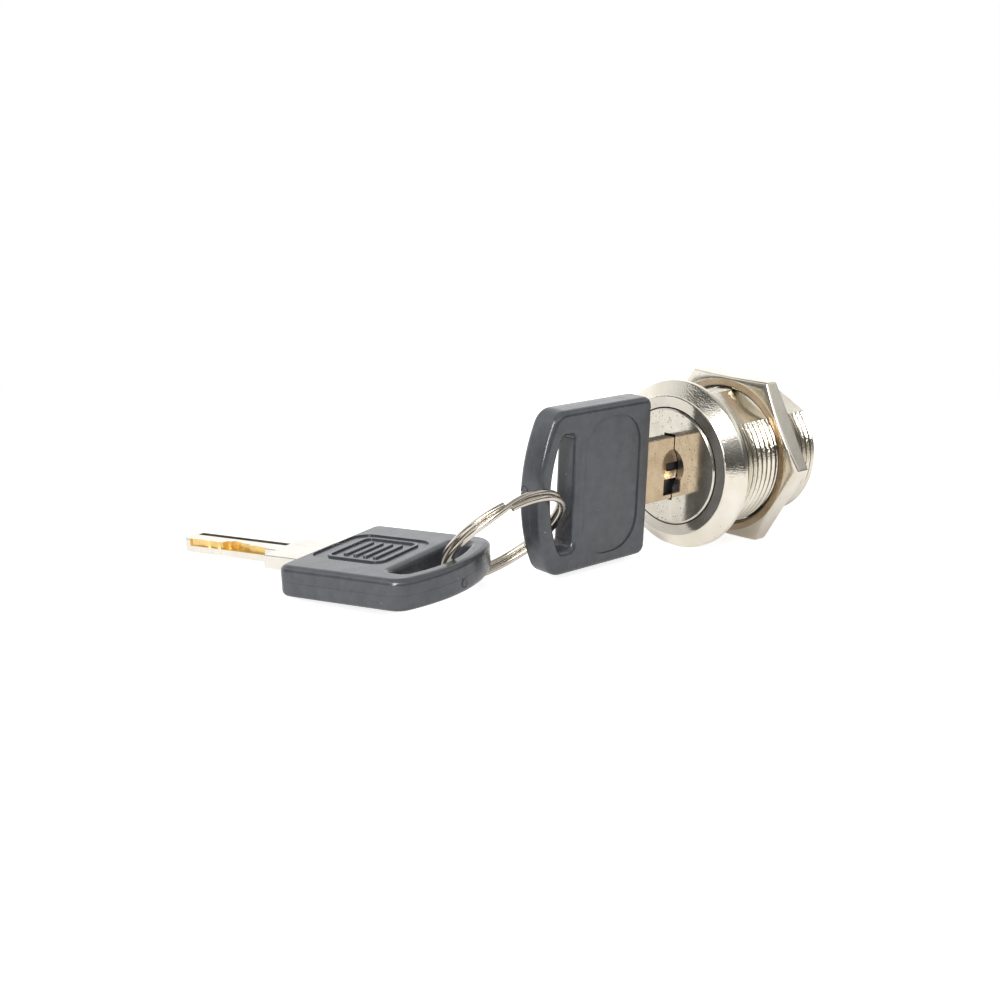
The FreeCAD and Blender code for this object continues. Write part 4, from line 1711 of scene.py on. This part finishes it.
@dataclass
class KeyHead:
    """A key's plastic head: rounded plate, ring slot, sunk panels, grip ribs, parting line and gate mark."""

    outside: BowedShape = BowedShape(
        front=0.0,
        side_end=17.6,
        reach=20.4,
        half_width=10.8,
        front_corner=1.3,
        rear_corner=2.6,
        bow_steps=28,
    )
    ring_slot: BowedShape = BowedShape(
        front=14.0,
        side_end=16.4,
        reach=18.1,
        half_width=7.5,
        front_corner=0.9,
        rear_corner=0.9,
        bow_steps=20,
    )
    half_thickness: float = 2.0
    edge_fillet: float = 0.8
    slot_fillet: float = 1.1
    line_depth: float = 0.02
    ribbed_panel: Panel = Panel(front=0.9, back=12.3, half_width=6.0, corner=2.2)
    plain_panel: Panel = Panel(front=2.1, back=12.6, half_width=9.2, corner=4.4)
    panel_depth: float = 0.22
    frame: Panel = Panel(front=2.7, back=11.1, half_width=4.8, corner=1.3)
    frame_width: float = 0.5
    frame_rounding: float = 0.1
    rib_count: int = 4
    rib_pitch: float = 1.45
    rib_width: float = 0.7
    rib_length: float = 6.2
    rib_height: float = 0.25
    rib_root: float = 0.3
    rib_rounding: float = 0.14
    mark: tuple[float, float] = (-0.6, -0.7)
    mark_radius: float = 0.56
    mark_depth: float = 0.5
    mark_sunk: float = 0.15
    mark_rim: float = 0.16
    finish: PlasticFinish = HEAD_PLASTIC

    def plate(self) -> Object:
        """The head's plate with its filleted outer edges and the parting line round its middle.

        Returns:
            The plate.
        """
        half, line = self.half_thickness, self.line_depth
        head = self.outside.draw("key_head").plate(-half, -line, 0.0, line, half)
        with editing(head):
            select_edges(lambda a, b: max(abs(a.z), abs(b.z)) < 0.001)
            bpy.ops.transform.shrink_fatten(value=-line)
        on_face = half - HAIR
        round_edges(head, lambda a, b: abs(a.z) > on_face and abs(a.z - b.z) < HAIR, self.edge_fillet, 6)
        return head

    def on_slot_rim(self, a: Vector, b: Vector) -> bool:
        """Whether an edge lies on the slot's rim in one of the two faces.

        Args:
            a: the edge's one end.
            b: its other end.

        Returns:
            True if it does.
        """
        slot = self.ring_slot
        inside = all(slot.front - 0.1 < end.x < slot.reach + 0.1 for end in (a, b))
        inside = inside and all(abs(end.y) < slot.half_width + 0.1 for end in (a, b))
        return inside and abs(a.z) > self.half_thickness - HAIR and abs(a.z - b.z) < HAIR

    def ribs(self) -> list[Object]:
        """The plain frame and the grip ribs that stand in one sunk panel.

        Returns:
            The frame and the ribs.
        """
        floor = self.half_thickness - self.panel_depth
        low, top = floor - self.rib_root, floor + self.rib_height
        frame = self.frame.plate("frame", low, top)
        inside = self.frame.inside(self.frame_width).plate("inside", floor - OVER, top + OVER)
        work(frame, inside, Cut.TAKE_AWAY)
        round_edges(frame, lambda a, b: min(a.z, b.z) > top - HAIR, self.frame_rounding, 2)
        found = [frame]
        middle = (self.frame.front + self.frame.back) / 2
        half, long_half = self.rib_width / 2, self.rib_length / 2
        for index in range(self.rib_count):
            at = middle + self.rib_pitch * (index - (self.rib_count - 1) / 2)
            rib = block("rib", (at - half, -long_half, low), (at + half, long_half, top))
            round_edges(rib, lambda a, b: abs(a.z - b.z) > 0.1, half * 0.9, 4)
            round_edges(rib, lambda a, b: min(a.z, b.z) > floor, self.rib_rounding, 3)
            found.append(rib)
        return found

    def gate_mark(self) -> Object:
        """The round trace of the moulding gate on the bow's edge.

        Returns:
            A short pin with a sunk end.
        """
        across, out = self.mark
        bow = self.outside.bow_radius()
        along = self.outside.reach - bow + math.sqrt(bow ** 2 - across ** 2)
        deselect_everything()
        bpy.ops.mesh.primitive_cylinder_add(
            vertices=24,
            radius=self.mark_radius,
            depth=self.mark_depth,
            location=(along - self.mark_sunk, across, out),
            rotation=(0.0, math.pi / 2, across / bow),
        )
        mark = new_piece("gate_mark")
        with editing(mark):
            select_faces(lambda at, normal: normal.x > 0.9)
            bpy.ops.mesh.inset(thickness=self.mark_rim, depth=-self.mark_rim)
        return mark

    def build(self) -> Object:
        """Build and dress the head.

        Returns:
            The head on the key's own axes, in millimetres.
        """
        head = self.plate()
        half = self.half_thickness
        floor, over = half - self.panel_depth, half + OVER
        work(head, self.ring_slot.draw("slot").plate(-over, over), Cut.TAKE_AWAY)
        round_edges(head, self.on_slot_rim, self.slot_fillet, 5)
        work(head, self.ribbed_panel.plate("ribbed_panel", floor, over), Cut.TAKE_AWAY)
        work(head, self.plain_panel.plate("plain_panel", -over, -floor), Cut.TAKE_AWAY)
        for rib in self.ribs():
            work(head, rib, Cut.JOIN)
        work(head, self.gate_mark(), Cut.JOIN)
        smooth(head, 30.0)
        dress(head, self.finish.material())
        return head


@dataclass(frozen=True)
class KeyPlace:
    """Where a key's own axes lie: front is the middle of its head's front edge."""

    front: Point
    along: Point
    across: Point

    @classmethod
    def lying(cls, front: Point, yaw: float, pitch: float) -> KeyPlace:
        """The place of a key that lies on one side.

        Args:
            front: the middle of its head's front edge.
            yaw: how far it is turned about +Z, in degrees.
            pitch: how far its ring's end is raised, in degrees.

        Returns:
            The place.
        """
        turn, rise = math.radians(yaw), math.radians(pitch)
        along = (math.cos(turn) * math.cos(rise), math.sin(turn) * math.cos(rise), math.sin(rise))
        return cls(front, along, (-math.sin(turn), math.cos(turn), 0.0))

    def matrix(self) -> Matrix:
        """The matrix that carries the key's own axes to its place.

        Returns:
            The matrix, in millimetres.
        """
        along, across = Vector(self.along), Vector(self.across)
        out = along.cross(across)
        columns = Matrix((along, across, out)).transposed().to_4x4()
        return Matrix.Translation(Vector(self.front)) @ columns


@dataclass
class Keys:
    """The two keys, alike but for the place of the gate mark and the finish of the blade: the key in the plug
    has a tarnished blade with a painted warm reflection, painted shade on its neck edges and in its grooves.
    """

    in_plug: KeyPlace = KeyPlace((0.0, -8.85, 0.0), (0.0, -1.0, 0.0), (0.0, 0.0, 1.0))
    spare: KeyPlace = KeyPlace.lying((-17.76, -47.05, -9.10), 17.75, 4.1)
    marks: tuple[tuple[float, float], tuple[float, float]] = ((0.7, 0.9), (-0.6, -0.7))
    blades: tuple[KeyBlade, KeyBlade] = field(
        default_factory=lambda: (
            # The key in the plug: tarnish under a painted warm reflection, painted shade on the neck's edges
            # and in the grooves
            KeyBlade(finish=TARNISH_AND_REFLECTION_NICKEL, edge_finish=NECK_EDGE_SHADE, groove_finish=POCKET_SHADE),
            KeyBlade(),
        )
    )

    def put(self, piece: Object, name: str, place: KeyPlace) -> Object:
        """Name a piece that is modelled on the key's own axes and put it in its place.

        Args:
            piece: the piece.
            name: its name.
            place: where the key lies.

        Returns:
            The same piece.
        """
        take_up(piece)
        piece.name = name
        piece.data.name = name
        piece.matrix_world = place.matrix()
        bpy.ops.object.transform_apply(location=True, rotation=True, scale=True)
        return piece

    def build(self) -> None:
        """Build, dress and hand over both keys."""
        keys = (("key_1", Body.KEY_1, self.in_plug), ("key_2", Body.KEY_2, self.spare))
        for (key, body, place), mark, metal in zip(keys, self.marks, self.blades):
            blade = self.put(metal.build(), f"{key}_blade_dressed", place)
            hand_over(blade, body, Slot.NICKEL_BLADE, f"{key}_blade")
            head = self.put(KeyHead(mark=mark).build(), f"{key}_head_dressed", place)
            hand_over(head, body, Slot.HEAD_PLASTIC, f"{key}_head")


@dataclass
class SplitRing:
    """The split ring: two turns of round wire side by side, with a jog between them.

    Angles run along both turns, from 0 at one end to 720 at the other.
    """

    radius: float = 8.4
    wire_radius: float = 0.4
    wire_steps: int = 5
    turn_spacing: float = 0.84
    centre: Point = (-0.65, -32.90, -4.61)
    normal: Point = (0.757, 0.003, -0.654)
    end_angle: float = 298.0
    jog_angle: float = 50.0
    first_angle: float = 2.0
    sweep: float = 716.0
    points: int = 120
    end_rounding: float = 0.09
    finish: SteelFinish = RING_STEEL

    def wire_point(self, degrees: float) -> Vector:
        """A point on the wire's middle line.

        Args:
            degrees: the angle along both turns.

        Returns:
            The point.
        """
        half = self.turn_spacing / 2
        share = (degrees - 360 + self.jog_angle / 2) / self.jog_angle
        offset = -half * math.cos(math.pi * min(max(share, 0.0), 1.0))
        normal = Vector(self.normal).normalized()
        across = normal.cross(Vector((0.0, 0.0, 1.0))).normalized()
        up = normal.cross(across)
        angle = math.radians(degrees + self.end_angle)
        arm = across * (self.radius * math.cos(angle)) + up * (self.radius * math.sin(angle))
        return Vector(self.centre) + arm + normal * offset

    def wire(self) -> Object:
        """Draw the wire along its middle line and make it a mesh.

        Returns:
            The wire, with open seams.
        """
        deselect_everything()
        bpy.ops.curve.primitive_nurbs_path_add()
        ring = bpy.context.object
        ring.location = (0.0, 0.0, 0.0)
        curve = ring.data
        curve.splines.clear()
        spline = curve.splines.new("NURBS")
        spline.points.add(self.points - 1)
        for index, point in enumerate(spline.points):
            angle = self.first_angle + self.sweep * index / (self.points - 1)
            point.co = (*self.wire_point(angle), 1.0)
        spline.order_u = 4
        spline.use_endpoint_u = True
        spline.resolution_u = 3
        curve.dimensions = "3D"
        curve.bevel_depth = self.wire_radius
        curve.bevel_resolution = self.wire_steps
        curve.use_fill_caps = True
        take_up(ring)
        bpy.ops.object.convert(target="MESH")
        ring = bpy.context.object
        ring.name = "split_ring_dressed"
        return ring

    def build(self) -> None:
        """Build, dress and hand over the piece."""
        ring = self.wire()
        with editing(ring):
            bpy.ops.mesh.select_all(action="SELECT")
            bpy.ops.mesh.remove_doubles(threshold=0.001)
            face_outwards()
        soften(ring, self.end_rounding, 2, 60.0)
        smooth(ring, 40.0)
        dress(ring, self.finish.material())
        hand_over(ring, Body.RING, Slot.RING_WIRE, "split_ring")


# The hidden works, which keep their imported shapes


@dataclass
class HiddenWorks:
    """Wafers, springs, washers, cam and screw."""

    finishes: dict[str, BrassFinish | SteelFinish] = field(
        default_factory=lambda: {
            "wafer_springs": SPRING_STEEL,
            "stop_washer": ZINC_STEEL,
            "cam": ZINC_STEEL,
            "cam_washer": ZINC_STEEL,
            "cam_screw": ZINC_STEEL,
            **{f"wafer_{index}": WAFER_BRASS for index in range(1, 8)},
        }
    )

    def build(self, nodes: dict[str, Object]) -> None:
        """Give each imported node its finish.

        Args:
            nodes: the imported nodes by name.
        """
        made: dict[str, Material] = {}
        for name, finish in self.finishes.items():
            if finish.name not in made:
                made[finish.name] = finish.material()
            dress(nodes[name], made[finish.name])
            log.info("%s: keeps its shape, in %s", name, finish.name)


# The studio


@dataclass(frozen=True)
class Lamp:
    """A soft rectangular lamp that looks at the object, with its sizes in metres and its power in watts."""

    name: str
    place: Point
    size: Span
    power: float
    mirrored: bool = True
    aim: Point = (-0.01, -0.02, -0.002)

    def hang(self) -> None:
        """Hang the lamp in its place, and keep it out of the polished metal where it isn't mirrored."""
        data = bpy.data.lights.new(self.name, "AREA")
        data.shape = "RECTANGLE"
        data.size, data.size_y = self.size
        data.energy = self.power
        lamp = bpy.data.objects.new(self.name, data)
        lamp.visible_glossy = self.mirrored
        bpy.context.scene.collection.objects.link(lamp)
        lamp.location = self.place
        lamp.rotation_euler = (Vector(self.aim) - Vector(self.place)).to_track_quat("-Z", "Y").to_euler()


@dataclass
class Studio:
    """Camera, table, lamps and the light around the object.

    Each side of the room is given by the sine of the height above the horizon and the brightness there.
    """

    focal_pixels: float = 1500.0
    azimuth: float = 46.661
    elevation: float = 15.424
    roll: float = 1.708
    distance: float = 205.436
    shift_right: float = -23.005
    shift_up: float = -4.612
    fit_offset: float = 2.80
    sensor: float = 36.0
    room_strength: float = 1.40
    soft_light: float = 0.54
    table_colour: float = 0.74
    table_glow: float = 0.80
    mirrored_glow: float = 0.32
    table_radius: float = 0.15
    table_middle: float = -0.02
    room_left: Stops = (
        (0.0, 0.95),
        (0.30, 0.88),
        (0.50, 0.74),
        (0.61, 0.69),
        (0.73, 0.57),
        (0.81, 0.46),
        (0.828, 0.40),
        (0.838, 0.04),
        (0.92, 0.04),
        (0.96, 0.40),
        (1.0, 0.45),
    )
    room_front: Stops = (
        (0.0, 0.05),
        (0.22, 0.09),
        (0.32, 0.20),
        (0.45, 0.34),
        (0.52, 0.50),
        (0.57, 0.95),
        (0.77, 0.95),
        (0.80, 0.60),
        (0.824, 0.34),
        (0.836, 0.04),
        (0.92, 0.04),
        (0.96, 0.40),
        (1.0, 0.45),
    )
    room_back: Stops = (
        (0.0, 0.14),
        (0.05, 0.08),
        (0.25, 0.08),
        (0.36, 0.30),
        (0.45, 0.62),
        (0.55, 0.85),
        (0.60, 0.60),
        (0.66, 0.28),
        (0.80, 0.50),
        (0.93, 0.36),
        (1.0, 0.45),
    )
    back_border: Span = (-0.05, 0.25)
    left_middle: float = -104.0
    left_border: Span = (0.50, 0.58)
    lamps: tuple[Lamp, ...] = (
        Lamp("lamp_front_right", (0.31, -0.53, 0.50), (0.20, 0.20), 1.0),
        Lamp("lamp_window", (0.240, -0.593, 0.290), (0.09, 0.40), 2.5),
        Lamp("lamp_above", (-0.25, -0.10, 0.75), (0.60, 0.60), 2.4, mirrored=False),
    )

    def camera(self) -> None:
        """Place the camera where the photograph was taken from."""
        a, e, r = (math.radians(x) for x in (self.azimuth, self.elevation, self.roll))
        back = Vector((math.sin(a) * math.cos(e), -math.cos(a) * math.cos(e), math.sin(e)))
        level = Vector((math.cos(a), math.sin(a), 0.0))
        upright = back.cross(level)
        right = level * math.cos(r) + upright * math.sin(r)
        up = upright * math.cos(r) - level * math.sin(r)
        place = right * self.shift_right + up * self.shift_up + back * self.distance
        place.y -= self.fit_offset
        data = bpy.data.cameras.new("camera")
        data.sensor_width = self.sensor
        data.lens = self.sensor * self.focal_pixels / PICTURE_PIXELS
        data.clip_start = 0.005
        data.clip_end = 20.0
        camera = bpy.data.objects.new("camera", data)
        bpy.context.scene.collection.objects.link(camera)
        turn = Matrix((right, up, back)).transposed().to_4x4()
        camera.matrix_world = Matrix.Translation(place * METRES) @ turn
        bpy.context.scene.camera = camera

    def table(self) -> None:
        """A pale table that looks white to the camera and keeps the object's shadow."""
        deselect_everything()
        bpy.ops.mesh.primitive_circle_add(
            vertices=96,
            radius=self.table_radius,
            fill_type="NGON",
            location=(0.0, self.table_middle, TABLE_HEIGHT * METRES),
        )
        table = new_piece("table")
        sheet = NodeSheet("table_white")
        sheet.set_shader(
            Base_Color=(self.table_colour, self.table_colour, self.table_colour, 1.0),
            Roughness=0.9,
            Specular_IOR_Level=0.0,
            Emission_Color=(1.0, 1.0, 1.0, 1.0),
        )
        path = sheet.tree.nodes.new("ShaderNodeLightPath")
        mirrored = sheet.tree.nodes.new("ShaderNodeMath")
        mirrored.operation = "MULTIPLY"
        mirrored.inputs[1].default_value = self.mirrored_glow
        sheet.join(path, "Is Glossy Ray", mirrored, 0)
        glow = sheet.tree.nodes.new("ShaderNodeMath")
        glow.operation = "MULTIPLY_ADD"
        glow.inputs[1].default_value = self.table_glow
        sheet.join(path, "Is Camera Ray", glow, 0)
        sheet.join(mirrored, "Value", glow, 2)
        sheet.join(glow, "Value", sheet.shader, "Emission Strength")
        dress(table, sheet.material)

    def height_ramp(self, tree: NodeTree, height: NodeSocket, stops: Stops) -> NodeSocket:
        """Add the brightness of one side of the room by height.

        Args:
            tree: the world's node tree.
            height: the socket that gives the height of a direction.
            stops: heights and brightnesses, in order.

        Returns:
            The colour socket.
        """
        ramp = tree.nodes.new("ShaderNodeValToRGB")
        set_stops(ramp, [(position, (value, value, value)) for position, value in stops])
        tree.links.new(height, ramp.inputs["Fac"])
        return ramp.outputs["Color"]

    def side_mix(
        self, tree: NodeTree, bearing: Node, towards: Point, border: Span, off: NodeSocket, on: NodeSocket
    ) -> NodeSocket:
        """Mix two sides of the room by the compass bearing of a direction.

        Args:
            tree: the world's node tree.
            bearing: the node that gives the level direction.
            towards: the middle of the second side.
            border: the cosines of the angle to it between which the sides change.
            off: the colour of the first side.
            on: the colour of the second side.

        Returns:
            The colour socket.
        """
        near = tree.nodes.new("ShaderNodeVectorMath")
        near.operation = "DOT_PRODUCT"
        near.inputs[1].default_value = towards
        tree.links.new(bearing.outputs["Vector"], near.inputs[0])
        share = tree.nodes.new("ShaderNodeMapRange")
        share.inputs["From Min"].default_value, share.inputs["From Max"].default_value = border
        tree.links.new(near.outputs["Value"], share.inputs["Value"])
        mixed = tree.nodes.new("ShaderNodeMix")
        mixed.data_type = "RGBA"
        tree.links.new(share.outputs["Result"], mixed.inputs[0])
        tree.links.new(off, mixed.inputs[6])
        tree.links.new(on, mixed.inputs[7])
        return mixed.outputs[2]

    def mirrored_room(self, tree: NodeTree) -> NodeSocket:
        """Add the room that polished metal shows: front, back and left side, each by height.

        Args:
            tree: the world's node tree.

        Returns:
            The colour socket.
        """
        place = tree.nodes.new("ShaderNodeTexCoord")
        parts = tree.nodes.new("ShaderNodeSeparateXYZ")
        tree.links.new(place.outputs["Generated"], parts.inputs["Vector"])
        left, front, back = (
            self.height_ramp(tree, parts.outputs["Z"], stops)
            for stops in (self.room_left, self.room_front, self.room_back)
        )
        level = tree.nodes.new("ShaderNodeVectorMath")
        level.operation = "MULTIPLY"
        level.inputs[1].default_value = (1.0, 1.0, 0.0)
        tree.links.new(place.outputs["Generated"], level.inputs[0])
        bearing = tree.nodes.new("ShaderNodeVectorMath")
        bearing.operation = "NORMALIZE"
        tree.links.new(level.outputs["Vector"], bearing.inputs[0])
        middle = math.radians(self.left_middle)
        to_left = (math.sin(middle), -math.cos(middle), 0.0)
        right_side = self.side_mix(tree, bearing, (0.0, 1.0, 0.0), self.back_border, front, back)
        return self.side_mix(tree, bearing, to_left, self.left_border, right_side, left)

    def surroundings(self) -> None:
        """White for the camera, the room for what the metal mirrors and an even light for the rest."""
        world = bpy.data.worlds.new("room")
        bpy.context.scene.world = world
        world.use_nodes = True
        tree = world.node_tree
        tree.nodes.clear()
        output = tree.nodes.new("ShaderNodeOutputWorld")
        room = tree.nodes.new("ShaderNodeBackground")
        room.inputs["Strength"].default_value = self.room_strength
        white = tree.nodes.new("ShaderNodeBackground")
        white.inputs["Strength"].default_value = 1.0
        white.inputs["Color"].default_value = (1.0, 1.0, 1.0, 1.0)
        path = tree.nodes.new("ShaderNodeLightPath")
        tone = tree.nodes.new("ShaderNodeMix")
        tone.data_type = "RGBA"
        soft = self.soft_light / self.room_strength
        tone.inputs[6].default_value = (soft, soft, soft, 1.0)
        tree.links.new(path.outputs["Is Glossy Ray"], tone.inputs[0])
        tree.links.new(self.mirrored_room(tree), tone.inputs[7])
        tree.links.new(tone.outputs[2], room.inputs["Color"])
        shown = tree.nodes.new("ShaderNodeMixShader")
        tree.links.new(path.outputs["Is Camera Ray"], shown.inputs[0])
        tree.links.new(room.outputs[0], shown.inputs[1])
        tree.links.new(white.outputs[0], shown.inputs[2])
        tree.links.new(shown.outputs[0], output.inputs["Surface"])

    def build(self) -> None:
        """Set the whole studio up."""
        self.table()
        self.surroundings()
        for lamp in self.lamps:
            lamp.hang()
        bpy.context.scene.view_settings.view_transform = "Standard"
        log.info("studio: table, room and %d soft lamps", len(self.lamps))


def main() -> None:
    """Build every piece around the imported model."""
    logging.basicConfig(level=logging.INFO, format="%(name)s: %(message)s")
    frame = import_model()
    studio = Studio()
    studio.camera()
    LockBody().build()
    HexNut().build()
    Plug().build()
    Keys().build()
    SplitRing().build()
    HiddenWorks().build(frame["nodes"])
    studio.build()


if __name__ == "__main__":
    main()
